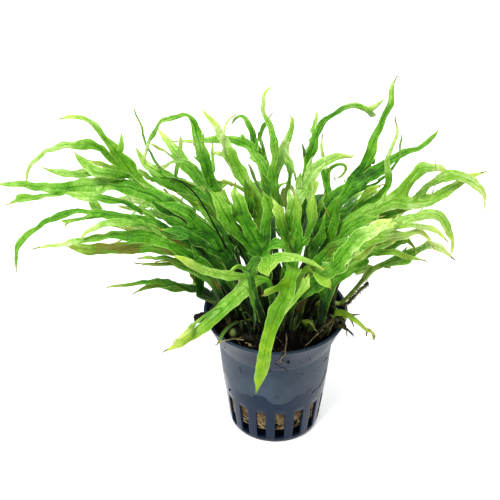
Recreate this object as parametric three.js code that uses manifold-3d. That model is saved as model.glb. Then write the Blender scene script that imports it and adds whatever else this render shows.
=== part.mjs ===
// A trident java fern growing in a small net pot, in millimetres, with +Z up.
// The origin is the middle of the pot's foot, on the surface that the pot stands on,
// and the front of the plant looks along -Y.

import * as THREE from 'three';
import { mergeVertices } from 'three/addons/utils/BufferGeometryUtils.js';
import Module from 'manifold-3d';

const wasm = await Module();
wasm.setup();

// The net pot: a thin wall that narrows to the foot, under a collar that flares to the rim.
const POT_HEIGHT = 51;
const RIM_RADIUS = 26.5;
const COLLAR_RADIUS = 21.7;
const COLLAR_BOTTOM = 39.6;
const WALL = 1.1;
const WALL_OUTSIDE = [[16.2, 0], [16.9, 0.8], [17.5, 4], [19.3, 18.5], [20.6, 32], [21.2, 39.2]];
const POT_SIDES = 48;
const SLOT_COUNT = 16;
const SLOT_WIDTH = 3.6;
const SLOT_BOTTOM = 2.2;
const SLOT_TOP = 15.8;
const FIRST_SLOT = 6.8;

// The wool plug fills the pot from a little above the floor to a little below the rim.
const WOOL_BOTTOM = 6;
const WOOL_TOP = 44.5;
const WOOL_CROWN = 2.2;
const GAP = 0.35;
const WOOL_SIDES = 28;

// Five rhizomes lie side by side on the wool, from front to back.
const RHIZOME_RADIUS = 1.9;
const RHIZOME_PITCH = 6.8;
const RHIZOME_HALF_LENGTHS = [15, 18.5, 20, 18.5, 15];
const RHIZOME_HEIGHT = WOOL_TOP + WOOL_CROWN + GAP + RHIZOME_RADIUS;

// The fronds were measured by eye on an upright plane through the pot's axis, seen from EYE.
// A reading keeps its place in that view when it slides along its line of sight.
const EYE = new THREE.Vector3(-0.5, -402, 358.4);
const READING_ZERO = new THREE.Vector3(-0.5, 0, 1);

// A blade is a thin strip of diamond section, which narrows to a stalk towards the root.
// The rows below give the width over the waves of its edge, and the flat strip is narrower.
const FLAT_SHARE = 0.88;
const STALK_WIDTH = 1.9;
const BLADE_HALF_THICKNESS = 0.36;
const FACING = new THREE.Vector3(0, -0.55, 0.83).normalize();
const SECTION_STEP = 12;
const TURN_STEPS = 48;
const TURN_RATE = 0.1;
const CALM_LENGTH = 9;
const MOST_TURN = 1.2;
const NEAR_STEPS = 60;
const BUD_REACH = 4;
const CLEARANCE = 1.8;
const LOBE_GAP = 0.5;
const TIP_LENGTH = 2.8;

const COLOURS = {
  pot: 0x475361,
  wool: 0x8a7452,
  rhizome: 0x4d5a2c,
  frond: 0x57982a,
  dry: 0x8f8266,
  dead: 0x4a3a28,
  moss: 0x3f4a1f,
};

// Each row is one frond. root: the rhizome it grows from, counted from the front, and the place
// along it. depth: how far back the middle and the tip lie. rib and path: readings in pairs,
// across and up. A lobe leaves the branch of its own frond that its path starts on.
const FRONDS = {
  // The left side, from the highest arch to the lowest frond.
  frond_left_arch: {
    root: [3, -13], depth: [20, 28], width: 5,
    rib: [-18, 78, -28, 88, -38, 96, -45, 101, -50, 108, -54, 115, -57, 120, -61, 126.5,
      -67, 130, -73, 129],
    lobes: [
      { width: 3.4, depth: 22, taper: 0.4,
        path: [-52, 111, -60, 118, -67, 119.5, -75, 118.5, -81, 115, -85, 110, -87, 103] },
      { width: 3, depth: 32, path: [-47, 104, -53, 108, -59, 110.5, -64, 112] },
    ],
  },
  frond_left_reach: {
    root: [2, -15], depth: [10, 14], width: 5.6,
    rib: [-20, 74, -30, 87, -38, 95, -46, 100, -55, 102.5, -65, 102.5, -75, 101, -84, 101.5,
      -90, 103, -97, 102],
    lobes: [
      { width: 3.4, depth: 20, path: [-56, 103, -64, 106, -69, 107, -74, 107.5, -80, 110] },
      { width: 4, depth: 24, path: [-48, 101, -54, 104, -60, 107.5, -66, 111, -69, 116] },
      { width: 3.2, depth: 6, path: [-77, 101, -85, 98.5, -90, 96, -94, 94] },
      { width: 3.4, depth: 0, path: [-61, 102, -64, 97, -62.5, 92.5, -60, 89] },
    ],
  },
  frond_left_droop: {
    root: [1, -16], depth: [0, -6], width: 5, taper: 0.6,
    rib: [-22, 70, -32, 81, -42, 87, -52, 90, -60, 91, -68, 92, -75, 91, -82, 87, -89, 81,
      -93, 74, -93.5, 66],
    lobes: [
      { width: 4.4, depth: 4, path: [-45, 88, -54, 93.5, -60, 96.5, -67, 98, -74, 98.5] },
      { width: 1.6, depth: -10, path: [-60, 91, -66, 89.5, -70, 87.5, -74, 86] },
    ],
  },
  frond_left_fork: {
    root: [1, -12], depth: [-4, -8], width: 4,
    rib: [-20, 64, -30, 73, -38, 78, -47, 81.5, -55, 82, -63, 80.5, -72, 78.5, -80, 76.5, -86, 76],
    lobes: [
      { width: 3.2, depth: -14, path: [-41, 80, -48, 85, -55, 87, -61, 86.5, -66, 83.5, -70, 79] },
    ],
  },
  frond_left_broad: {
    root: [0, -13], depth: [-12, -16], width: 5.8,
    rib: [-22, 62, -28, 70, -34, 75, -42, 77, -50, 76, -60, 75.5, -70, 76, -75.5, 77],
    lobes: [
      { width: 2.6, depth: -8, path: [-37, 77, -44, 79.5, -50, 80.5, -57, 78] },
      { width: 2.6, depth: -21, path: [-33, 74, -40, 72.5, -44, 72, -49, 71.5] },
      { width: 2.8, depth: -10, path: [-24, 65, -31, 66.5, -37, 71, -43, 70] },
    ],
  },
  frond_left_wavy: {
    root: [2, -18.5], depth: [0, -2], width: 2.6,
    rib: [-20, 58, -24, 66, -31, 69, -38, 69, -46, 69, -50, 69],
    lobes: [],
  },
  frond_left_low: {
    root: [1, -17.5], depth: [-11, -15], width: 3.6,
    rib: [-21, 52, -24, 57, -29, 59, -35, 58.5, -41, 60, -45, 59, -51, 56.5],
    lobes: [
      { width: 2.8, depth: -6, path: [-27, 59.5, -35, 60.5, -42, 62, -52, 60.5, -62, 58] },
      { width: 4.2, depth: -14, path: [-22, 54, -26.5, 60.5, -31, 66] },
    ],
  },
  frond_left_inner_1: {
    root: [1, -7], depth: [4, 6], width: 5.2,
    rib: [-12, 62, -18, 75, -25, 85, -30, 91, -36, 95, -42, 95.5],
    lobes: [
      { width: 4, depth: -3, path: [-20, 78, -27, 80.5, -34, 84, -41, 84.5] },
      { width: 3.6, depth: 2, path: [-26, 86, -33, 88.5, -41, 92.5] },
      { width: 3.2, depth: 8, path: [-17, 73, -19, 80, -23, 88, -27, 95] },
    ],
  },
  frond_left_inner_2: {
    root: [2, -9], depth: [14, 18], width: 5.2,
    rib: [-14, 66, -20, 77, -27, 86, -34, 92, -42, 96, -50, 97, -58, 96.5],
    lobes: [
      { width: 4, depth: 10, path: [-33, 91, -41, 90.5, -48, 92, -55, 94.5] },
      { width: 3.4, depth: 20, path: [-24, 82, -28, 91, -33, 97, -40, 100.5] },
    ],
  },
  frond_left_inner_3: {
    root: [0, -7], depth: [-6, -5], width: 5,
    rib: [-14, 58, -22, 69, -30, 77, -39, 83, -48, 87, -56, 88],
    lobes: [
      { width: 3.6, depth: -12, path: [-28, 75, -36, 76.5, -44, 79, -50, 83.5, -56, 85.5] },
      { width: 3, depth: -4, path: [-20, 66, -24, 75, -31, 82, -37, 87] },
    ],
  },
  frond_left_crown: {
    root: [3, -8], depth: [24, 34], width: 6,
    rib: [-12, 76, -20, 90, -28, 99, -36, 104.5, -42, 109, -46, 113, -48, 118],
    lobes: [
      { width: 3.4, depth: 40, path: [-31, 101, -34.5, 106, -33.5, 112, -32.5, 118, -32.5, 123] },
      { width: 1.3, depth: 38, path: [-42, 109, -43, 116, -44, 121, -46, 127, -48, 134] },
      { width: 4.2, depth: 28, path: [-35, 104, -43, 106, -50, 109] },
    ],
  },
  // The lobes that stand up behind, from left to right.
  frond_top_1: {
    root: [3, -3.5], depth: [26, 42], width: 4.8, taper: 0.55,
    rib: [-9, 72, -14, 82, -18, 90, -20, 97, -23, 106, -25, 115, -26.5, 124, -29, 130, -33, 131,
      -38, 129, -42, 124, -44, 118, -45, 112],
    lobes: [
      { width: 2.8, depth: 50, path: [-20, 98, -21.5, 106, -21.5, 113, -22, 120] },
      { width: 3.6, depth: 36, path: [-22, 103, -28, 112.5, -34, 113, -40, 110] },
    ],
  },
  frond_top_2: {
    root: [4, -8], depth: [34, 52], width: 5,
    rib: [-14, 84, -20, 95, -26, 105, -31, 112, -35, 117.5, -37, 121.5, -40, 126],
    lobes: [
      { width: 3.2, depth: 46, path: [-33, 115, -38, 117, -43, 119.5] },
      { width: 3, depth: 54, path: [-23, 100, -23, 108, -26, 115, -28, 120] },
    ],
  },
  frond_top_3: {
    root: [4, -1], depth: [44, 58], width: 4,
    rib: [-4, 90, -3, 104, -5, 113, -9, 119.5, -15, 121.5, -22, 121.5, -29, 120.5, -34, 120.5],
    lobes: [],
  },
  frond_top_4: {
    root: [3, 0.3], depth: [24, 36], width: 4.6,
    rib: [-4, 76, -5, 90, -8, 100, -12, 108, -15, 116, -18, 122, -22, 128, -25, 133],
    lobes: [
      { width: 1.1, depth: 34, path: [-14, 115, -17, 121, -17.4, 126, -16.2, 129.5, -14, 131] },
      { width: 2.2, depth: 22, path: [-9, 102, -15, 104.5, -21, 105] },
      { width: 2.6, depth: 44, path: [-12, 109, -17, 115, -22, 116.5] },
    ],
  },
  frond_top_5: {
    root: [4, -5], depth: [36, 50], width: 4.2,
    rib: [-5, 86, -3, 96, -3, 103, -4.5, 110, -6.5, 118, -8.5, 125, -10.5, 130, -13.5, 130.5, -15.5, 127],
    lobes: [
      { width: 2.7, depth: 56, path: [-6, 116, -5.5, 122, -4, 127, -2, 131] },
      { width: 3, depth: 34, path: [-3, 99, -7, 106, -10, 112] },
    ],
  },
  frond_top_6: {
    root: [4, 3.5], depth: [40, 60], width: 3.8,
    rib: [3, 88, 0, 98, -1, 106, -1, 112, 0, 117, -1.5, 122, -2, 128, -5, 132, -4.5, 136,
      -4, 139.5, -1.5, 142],
    lobes: [
      { width: 3.2, depth: 62, path: [-1, 108, 1.5, 114, 3.5, 120, 5.5, 127, 4.5, 131] },
      { width: 4.6, depth: 34, path: [2.5, 117, 5, 111, 4.5, 103, 3, 94] },
    ],
  },
  frond_top_7: {
    root: [3, 4.3], depth: [28, 44], width: 5.2, taper: 0.62,
    rib: [8, 80, 9, 89, 9.5, 98, 10.5, 108, 12, 118, 14, 126, 17, 131, 21, 134, 26, 135.5,
      31, 134, 36, 138],
    lobes: [
      { width: 3, depth: 54, path: [11, 113, 12, 121, 12.5, 127, 13.5, 133] },
      { width: 2.6, depth: 40, path: [10, 103, 6, 109, 2.5, 114] },
      { width: 3, depth: 34, path: [9, 91, 13, 98, 14, 105] },
      { width: 2.4, depth: 42, path: [31, 134, 33, 131] },
    ],
  },
  frond_top_8: {
    root: [4, 8], depth: [36, 50], width: 3.4,
    rib: [14, 84, 18, 93, 19, 99, 17.5, 104, 16, 110, 15.5, 117, 15.5, 123],
    lobes: [
      { width: 2.2, depth: 46,
        path: [16.5, 108, 18.5, 111.5, 21, 113, 23.7, 112.3, 24.5, 109.3, 22, 106.5, 18, 106] },
    ],
  },
  frond_top_9: {
    root: [2, 1.5], depth: [12, 22], width: 4.6,
    rib: [5, 74, 5, 84, 5.5, 92, 7.5, 98, 10, 104, 14, 110, 18, 114.5, 22, 116.5, 25.5, 115, 27, 116.5],
    lobes: [
      { width: 3.2, depth: 16, path: [9, 102, 12, 98.5, 14.5, 92] },
    ],
  },
  // The middle, in front of the upright lobes.
  frond_centre_1: {
    root: [1, 3], depth: [2, 8], width: 4.6,
    rib: [6, 66, 7, 76, 8, 86, 8, 95, 6, 101],
    lobes: [
      { width: 4, depth: 8, path: [6.5, 76, 3, 85, 1, 92, -1, 98] },
      { width: 3.4, depth: 6, path: [7.5, 81, 11, 88, 12.5, 95, 13.5, 101] },
    ],
  },
  frond_centre_2: {
    root: [1, -1.5], depth: [0, 8], width: 6,
    rib: [-3, 62, -5, 74, -8, 84, -12, 93, -14, 99, -14, 104],
    lobes: [
      { width: 4.8, depth: 10, path: [-7, 82, -14, 89, -19, 95, -23, 101] },
      { width: 3.2, depth: 6, path: [-12, 93, -16, 97, -18.5, 101] },
      { width: 4.4, depth: 12, path: [-6, 77, -3, 86, -2, 94, -5, 101] },
    ],
  },
  frond_centre_3: {
    root: [2, -4], depth: [12, 18], width: 5.2,
    rib: [-8, 68, -12, 79, -16, 88, -21, 96, -25, 102],
    lobes: [
      { width: 4.2, depth: 20, path: [-12, 79, -10, 90, -9.5, 98, -11, 106] },
      { width: 3.6, depth: 18, path: [-14, 84, -22, 91, -29, 97, -35, 100] },
    ],
  },
  // The right side, from the highest lobe to the lowest.
  frond_right_crown: {
    root: [3, 9], depth: [16, 22], width: 5,
    rib: [13, 78, 18, 90, 22, 97, 27, 103, 32, 108, 37, 112.5, 41, 116, 46, 117.5, 50, 120,
      53, 123, 54, 127],
    lobes: [
      { width: 4.6, depth: 32,
        path: [30, 106, 33, 112, 32.5, 118, 33, 125, 35.5, 130, 38, 136, 37.3, 140, 39, 145] },
      { width: 1.3, depth: 12, path: [27, 103, 33.5, 104, 38, 107.5, 41, 112, 42.5, 118, 42, 125] },
      { width: 3.6, depth: 14, path: [19, 92, 26, 96.5, 32, 98.5, 37, 98] },
      { width: 3.2, depth: 24, path: [16, 86, 15, 93, 17, 99] },
    ],
  },
  frond_right_upper: {
    root: [4, 12], depth: [30, 36], width: 4.2,
    rib: [13, 84, 16, 93, 20, 99, 24, 103.5, 28.5, 107, 32, 111],
    lobes: [
      { width: 1.4, depth: 38, path: [20, 99, 22.3, 103, 23, 107] },
    ],
  },
  frond_right_narrow: {
    root: [3, 13], depth: [10, 12], width: 3.2,
    rib: [20, 82, 27, 91, 34, 98, 38, 102, 38.7, 107.5, 37, 113, 38.5, 119, 40.5, 125, 40, 129],
    lobes: [
      { width: 3, depth: 6, path: [28, 92, 33, 99, 36, 101, 41, 101] },
    ],
  },
  frond_right_reach: {
    root: [2, 11], depth: [8, 10], width: 5.2,
    rib: [17, 74, 25, 87, 34, 95.5, 43, 98, 50, 96.5, 55, 98.5, 60, 102, 65, 106.5, 71, 110.5],
    lobes: [
      { width: 5, depth: 16, path: [43, 98, 45.5, 105, 49, 110, 53, 112, 57, 110.5, 58.5, 108] },
      { width: 4.4, depth: -1,
        path: [48, 97.5, 52, 103.5, 56, 107, 61, 108, 66, 107.5, 70, 105, 73, 100, 73, 96] },
    ],
  },
  frond_right_middle: {
    root: [2, 16], depth: [2, 4], width: 4.2,
    rib: [20, 70, 28, 82, 35, 89, 41, 92.5, 47, 95, 53, 95.5],
    lobes: [
      { width: 3.6, depth: 8, path: [29, 84, 35, 92.5, 39, 92] },
      { width: 3.2, depth: -2, path: [25, 77, 32, 81, 38, 86.5, 44, 90] },
    ],
  },
  frond_right_droop: {
    root: [1, 13.5], depth: [-4, -10], width: 4.8,
    rib: [20, 64, 27, 74, 34, 82, 43, 88, 50, 91.5, 55, 93, 58.5, 90, 61.5, 85, 63.5, 81, 62.5, 75],
    lobes: [
      { width: 2.6, depth: -16, path: [45, 89, 52, 88.5, 58, 85, 61, 81] },
      { width: 3.2, depth: -14, path: [37, 84.5, 44, 86, 50, 85.5, 53.5, 82, 55, 79] },
      { width: 2.8, depth: -12, path: [29, 76, 37, 79, 43, 83, 47, 82] },
    ],
  },
  frond_right_curl: {
    root: [1, 17], depth: [-8, -14], width: 3.6,
    rib: [22, 62, 28, 72, 34, 79, 40, 84, 45, 84, 48, 80, 50, 76],
    lobes: [
      { width: 3.6, depth: -18, path: [32, 77, 38, 77, 43.5, 79.5, 48, 84] },
    ],
  },
  frond_right_light: {
    root: [1, 8], depth: [-10, -16], width: 6,
    rib: [15, 62, 21, 70, 27, 78, 32, 84, 36.5, 88, 41.5, 90.5],
    lobes: [
      { width: 4.2, depth: -8, path: [25, 75, 33, 82, 38, 86, 43, 87.5] },
      { width: 3.2, depth: -18, path: [19, 67, 26, 71, 31, 75.5, 37, 78] },
    ],
  },
  frond_right_long: {
    root: [0, 8], depth: [-20, -28], width: 4.8,
    rib: [13, 64, 16, 72, 20, 77.5, 27, 79, 33, 77.5, 40, 75.5, 47, 74.5, 53, 73],
    lobes: [],
  },
  frond_right_stalk: {
    root: [2, 19.8], depth: [-3, -8], width: 5, stalk: 0.42,
    rib: [24, 52, 30, 60.5, 35, 68, 40, 71, 46, 73, 51, 76, 55.5, 79, 59, 78, 63.5, 73],
    lobes: [
      { width: 3.4, depth: 3, path: [34, 68, 29, 69.5, 24, 68] },
    ],
  },
  frond_right_hand: {
    root: [0, 13], depth: [-14, -18], width: 5,
    rib: [18, 52, 20, 60, 21.5, 67, 25, 73, 29.5, 78],
    lobes: [
      { width: 4.4, depth: -22, path: [21.5, 67, 27, 70.5, 33, 72] },
    ],
  },
  frond_right_low: {
    root: [1, 18.3], depth: [-9, -17], width: 2.6,
    rib: [22, 48, 25, 48.5, 29, 47, 32, 44, 34.5, 40.5, 37, 38.5],
    lobes: [],
  },
  frond_right_inner: {
    root: [2, 6.5], depth: [6, 8], width: 3.8,
    rib: [13, 66, 17, 76, 20, 84, 21.5, 91, 21.5, 98],
    lobes: [
      { width: 4, depth: 2, path: [17, 76, 23.5, 84, 30, 89.5, 37, 91] },
      { width: 3, depth: 10, path: [14, 69, 14.5, 78, 16.5, 86, 17.5, 93] },
    ],
  },
  // The front, where the fronds arch over the rim towards the viewer.
  frond_front_hand: {
    root: [0, 4], depth: [-34, -37], width: 5.8, stalk: 0.2,
    rib: [8, 58, 7.4, 65.5, 7, 69, 6.6, 69, 6.2, 66, 5.5, 61, 4, 55, 0, 47, -3, 38, -4, 30,
      -4.5, 20, -4.5, 9.5],
    lobes: [
      { width: 3, depth: -42, path: [5, 60, 0, 58.5, -4, 56] },
      { width: 3.8, depth: -33, path: [3, 53, 8.5, 60.5, 12.5, 66] },
      { width: 4.8, depth: -40, path: [6.5, 68, 11, 68.5, 15, 65.5, 18, 62.5, 20.5, 59.5] },
    ],
  },
  frond_front_arch: {
    root: [0, -3], depth: [-22, -27], width: 4.4, stalk: 0.3,
    rib: [-8, 56, -9, 66, -7, 72, -2, 73.5, 4, 74, 10, 72.5, 14, 70.5, 17, 68],
    lobes: [
      { width: 4.2, depth: -18, path: [-6, 72, -3, 77, 0.5, 79, 5, 77.5] },
      { width: 2.4, depth: -30, path: [-9, 69, -13, 69.5, -17, 65.5] },
      { width: 5, depth: -33, path: [-1, 73.5, -3.5, 69, -2, 64.5] },
    ],
  },
  frond_front_left: {
    root: [0, 0.4], depth: [-28, -34], width: 5.6, stalk: 0.3,
    rib: [-1, 54, -2, 63, -8, 62, -15, 55, -22, 47, -30, 39, -36, 33, -41, 29],
    lobes: [
      { width: 3.8, depth: -20, path: [-7, 62, -14, 63.5, -20, 65, -25, 66, -29, 68.5, -33, 72, -37, 73] },
      { width: 3, depth: -26, path: [-19, 50, -27, 43.5, -31, 40, -37, 34] },
    ],
  },
  frond_front_low: {
    root: [0, -10.5], depth: [-20, -24], width: 2.6,
    rib: [-12, 43.5, -15, 43, -18, 40, -19.5, 37, -21, 33],
    lobes: [],
  },
  frond_front_inner: {
    root: [0, -6.2], depth: [-18, -20], width: 4.6,
    rib: [-7, 49, -8, 55, -11, 60],
    lobes: [],
  },
  young_leaf_1: {
    root: [1, 15.5], depth: [-9, -11], width: 4.2, stalk: 0.1,
    rib: [16.6, 49, 17.4, 52.5, 20.5, 51.5],
    lobes: [],
  },
  young_leaf_2: {
    root: [0, 11.5], depth: [-17, -20], width: 3.2, stalk: 0.3,
    rib: [11.8, 44, 13, 45, 15, 41],
    lobes: [],
  },
  // The back, which the fronds in front of it hide: these lie where a full crown would have them.
  frond_back_1: {
    root: [4, -11.5], depth: [46, 66], width: 5.2,
    rib: [-17, 88, -22, 96, -27, 101, -31, 101, -33, 96],
    lobes: [
      { width: 4, depth: 60, path: [-22, 96, -20, 102, -17, 105, -15, 102] },
    ],
  },
  frond_back_2: {
    root: [4, 0.5], depth: [44, 66], width: 5,
    rib: [-2, 92, -4, 100, -6, 104, -8, 104, -10, 99],
    lobes: [
      { width: 4, depth: 60, path: [-3, 98, 2, 104, 5, 104, 7, 99] },
    ],
  },
  frond_back_3: {
    root: [4, 6], depth: [42, 64], width: 5,
    rib: [10, 88, 13, 95, 15, 99, 18, 99, 21, 93],
    lobes: [
      { width: 4, depth: 56, path: [13, 95, 10, 101, 7, 102] },
    ],
  },
  frond_back_4: {
    root: [4, 14], depth: [38, 56], width: 5,
    rib: [18, 84, 25, 93, 31, 97, 36, 97, 40, 91],
    lobes: [
      { width: 4, depth: 58, path: [26, 94, 27, 99, 30, 102] },
    ],
  },
  frond_back_5: {
    root: [3, -17], depth: [34, 50], width: 5,
    rib: [-22, 78, -31, 88, -39, 94, -46, 95, -51, 90],
    lobes: [
      { width: 4, depth: 46, path: [-32, 89, -34, 96, -39, 101] },
    ],
  },
};

// The dead leaf hangs over the rim: points in place.
const DEAD_LEAF = [[20, -10, 51], [23, -13, 54.5], [26.8, -16, 53.4], [28.6, -17.6, 49.4]];
const DEAD_LEAF_WIDTH = 3.2;

// A small repeatable number generator, so that every build is the same.
function makeRandom(seed) {
  let state = seed;
  return () => {
    state = (state * 1664525 + 1013904223) % 4294967296;
    return state / 4294967296;
  };
}

function smoothstep(low, high, value) {
  const t = Math.min(Math.max((value - low) / (high - low), 0), 1);
  return t * t * (3 - 2 * t);
}

// Moves a point along its line of sight until it lies at the given depth.
function slideTo(point, depth) {
  const stretch = (depth - EYE.y) / (point.y - EYE.y);
  return EYE.clone().addScaledVector(point.clone().sub(EYE), stretch);
}

function sight(across, up, depth) {
  return slideTo(new THREE.Vector3(across, 0, up).add(READING_ZERO), depth);
}

// The height of a rhizome's axis and its slight sway, at a distance along it.
function rhizomePoint(index, along) {
  const back = (index - 2) * RHIZOME_PITCH + 0.8 * Math.sin(along * 0.21 + index * 2);
  return new THREE.Vector3(along, back, RHIZOME_HEIGHT);
}

function pairs(flat) {
  return flat.reduce((list, value, i) => (i % 2 ? list : [...list, [value, flat[i + 1]]]), []);
}

// A branch is one strip: control points, a width, and where it narrows.
class Branch {
  constructor(points, width, { stalk = 0, taper = 0.66, fork = null, seed = 1 }) {
    this.rest = points;
    this.width = width * FLAT_SHARE;
    this.stalk = stalk;
    this.taper = taper;
    this.fork = fork;
    this.forks = [];
    const random = makeRandom(seed);
    this.turnStart = (random() - 0.5) * 0.5;
    this.turnEnd = (random() - 0.5) * 1.1;
    this.shift(0);
  }

  // Slides the branch along the lines of sight: not at all at its start, fully from its middle on.
  shift(amount) {
    const last = this.rest.length - 1;
    const points = this.rest.map((p, i) => {
      const share = smoothstep(0, 0.5, i / last);
      return slideTo(p, p.y + amount * share);
    });
    this.curve = new THREE.CatmullRomCurve3(points, false, 'centripetal');
    this.curve.arcLengthDivisions = 80;
    this.length = this.curve.getLength();
    this.turnBlade();
  }

  // Finds the blade's left at even steps. It is carried along the curve, so that it never flips
  // over, and it is turned little by little until the blade faces up and to the front.
  turnBlade() {
    this.lefts = [];
    const stepLength = this.length / TURN_STEPS;
    let left = null;
    for (let i = 0; i <= TURN_STEPS; i += 1) {
      const u = i / TURN_STEPS;
      const tangent = this.curve.getTangentAt(u);
      const facing = FACING.clone();
      facing.applyAxisAngle(tangent, this.turnStart + (this.turnEnd - this.turnStart) * u);
      const wanted = new THREE.Vector3().crossVectors(facing, tangent);
      if (left) {
        left.addScaledVector(tangent, -left.dot(tangent)).normalize();
        const calm = this.fork ? smoothstep(0, CALM_LENGTH, u * this.length) : 1;
        const strength = TURN_RATE * stepLength * calm * smoothstep(0.3, 0.8, wanted.length());
        left.lerp(wanted.normalize().multiplyScalar(Math.sign(wanted.dot(left)) || 1), strength);
      } else {
        left = this.fork ? this.leftAtFork(tangent) : wanted;
      }
      left.normalize();
      this.lefts.push(left.clone());
    }
  }

  // A lobe's blade starts in the plane of its own direction and its parent's edge.
  leftAtFork(tangent) {
    const { facing, along, side } = this.fork;
    const inPlane = new THREE.Vector3().crossVectors(facing, tangent);
    const byEdge = along.clone().multiplyScalar(-side);
    byEdge.addScaledVector(tangent, -byEdge.dot(tangent));
    return byEdge.addScaledVector(inPlane, 0.15);
  }

  widthAt(u) {
    const bladed = smoothstep(this.stalk, this.stalk + 0.16, u);
    const full = this.stalk > 0 ? STALK_WIDTH + (this.width - STALK_WIDTH) * bladed : this.width;
    const ending = Math.max(u - this.taper, 0) / (1 - this.taper);
    return full * (1 - 0.7 * Math.pow(ending, 1.7));
  }

  frameAt(u) {
    const centre = this.curve.getPointAt(u);
    const tangent = this.curve.getTangentAt(u);
    const step = Math.min(Math.floor(u * TURN_STEPS), TURN_STEPS - 1);
    const left = this.lefts[step].clone().lerp(this.lefts[step + 1], u * TURN_STEPS - step);
    left.addScaledVector(tangent, -left.dot(tangent)).normalize();
    const normal = new THREE.Vector3().crossVectors(tangent, left).normalize();
    return { centre, left, normal, tangent };
  }

  // How far, and which way, a point at one side of the blade must move to lie clear of it.
  lackAt(point, side, half) {
    let near = null;
    for (let i = 0; i <= NEAR_STEPS; i += 1) {
      const distance = this.curve.getPointAt(i / NEAR_STEPS).distanceTo(point);
      if (!near || distance < near.distance) {
        near = { distance, u: i / NEAR_STEPS };
      }
    }
    const { centre, left } = this.frameAt(near.u);
    const need = this.widthAt(near.u) / 2 + half + LOBE_GAP;
    const lateral = point.clone().sub(centre).dot(left) * side;
    const clear = near.distance > need || near.u === 1 || lateral > need;
    return { lack: clear ? 0 : need - lateral, away: left.multiplyScalar(side) };
  }
}

// A row of points across the branch every millimetre and a half, to keep the fronds apart.
function samplesOf(branch, fromLength) {
  const list = [];
  const steps = Math.ceil(branch.length / 1.5);
  for (let i = 0; i <= steps; i += 1) {
    const u = i / steps;
    const along = u * branch.length;
    if (along >= fromLength) {
      const { centre, left } = branch.frameAt(u);
      const half = branch.widthAt(u) / 2;
      const rows = Math.max(1, Math.ceil(half / 1.3));
      for (let k = -rows; k <= rows; k += 1) {
        list.push(centre.clone().addScaledVector(left, (half * k) / rows));
      }
    }
  }
  return list;
}

// The points already taken, kept in cells so that near ones are found quickly.
const CELL = 2.5;
const taken = new Map();

function cellKey(x, y, z) {
  return `${x},${y},${z}`;
}

function take(points, owner, branch) {
  for (const point of points) {
    const key = cellKey(...point.toArray().map((v) => Math.floor(v / CELL)));
    if (!taken.has(key)) {
      taken.set(key, []);
    }
    taken.get(key).push({ point, owner, branch });
  }
}

function countTouches(points, ignore) {
  let touches = 0;
  for (const point of points) {
    const [cx, cy, cz] = point.toArray().map((v) => Math.floor(v / CELL));
    for (let x = cx - 1; x <= cx + 1; x += 1) {
      for (let y = cy - 1; y <= cy + 1; y += 1) {
        for (let z = cz - 1; z <= cz + 1; z += 1) {
          for (const other of taken.get(cellKey(x, y, z)) ?? []) {
            if (point.distanceTo(other.point) < CLEARANCE && !ignore(other, point)) {
              touches += 1;
            }
          }
        }
      }
    }
  }
  return touches;
}

// The depths to try, nearest first, for a branch that would run through another.
const SHIFTS = [0];
for (let step = 1; step <= 16; step += 1) {
  SHIFTS.push(step * 1.5, -step * 1.5);
}
const ROOT_NUDGES = [0];
for (let step = 1; step <= 8; step += 1) {
  ROOT_NUDGES.push(step * 0.7, -step * 0.7);
}

// Builds a frond's branches, each slid to the nearest depth at which it clears the rest.
function growFrond(name, row, seed) {
  const [index, along] = row.root;
  const readings = pairs(row.rib);
  let best = null;
  for (const nudge of ROOT_NUDGES) {
    for (const amount of SHIFTS) {
      if (!best || best.touches > 0) {
        const root = rhizomePoint(index, along + nudge);
        root.z += RHIZOME_RADIUS + GAP;
        const rib = new Branch(ribPoints(root, readings, row.depth), row.width, {
          stalk: row.stalk ?? 0.22, taper: row.taper, seed,
        });
        rib.shift(amount);
        const touches = countTouches(samplesOf(rib, 0), () => false);
        if (!best || touches < best.touches) {
          best = { touches, rib };
        }
      }
    }
  }
  take(samplesOf(best.rib, 0), name, 0);
  const branches = [best.rib];
  row.lobes.forEach((lobe, i) => {
    const made = growLobe(name, branches, lobe, seed * 31 + i + 1);
    branches.push(made);
    take(samplesOf(made, 1), name, i + 1);
  });
  return branches;
}

// The rib rises from its root, then follows its readings, with the depth easing from one to the next.
function ribPoints(root, readings, [middleDepth, tipDepth]) {
  const count = readings.length;
  const points = readings.map(([across, up], i) => {
    const f = (i + 1) / count;
    const early = THREE.MathUtils.lerp(root.y, middleDepth, f);
    const late = THREE.MathUtils.lerp(middleDepth, tipDepth, f);
    return sight(across, up, THREE.MathUtils.lerp(early, late, f));
  });
  const rise = root.clone().lerp(points[0], 0.3);
  rise.z += 2;
  return [root, rise, ...points];
}

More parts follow.
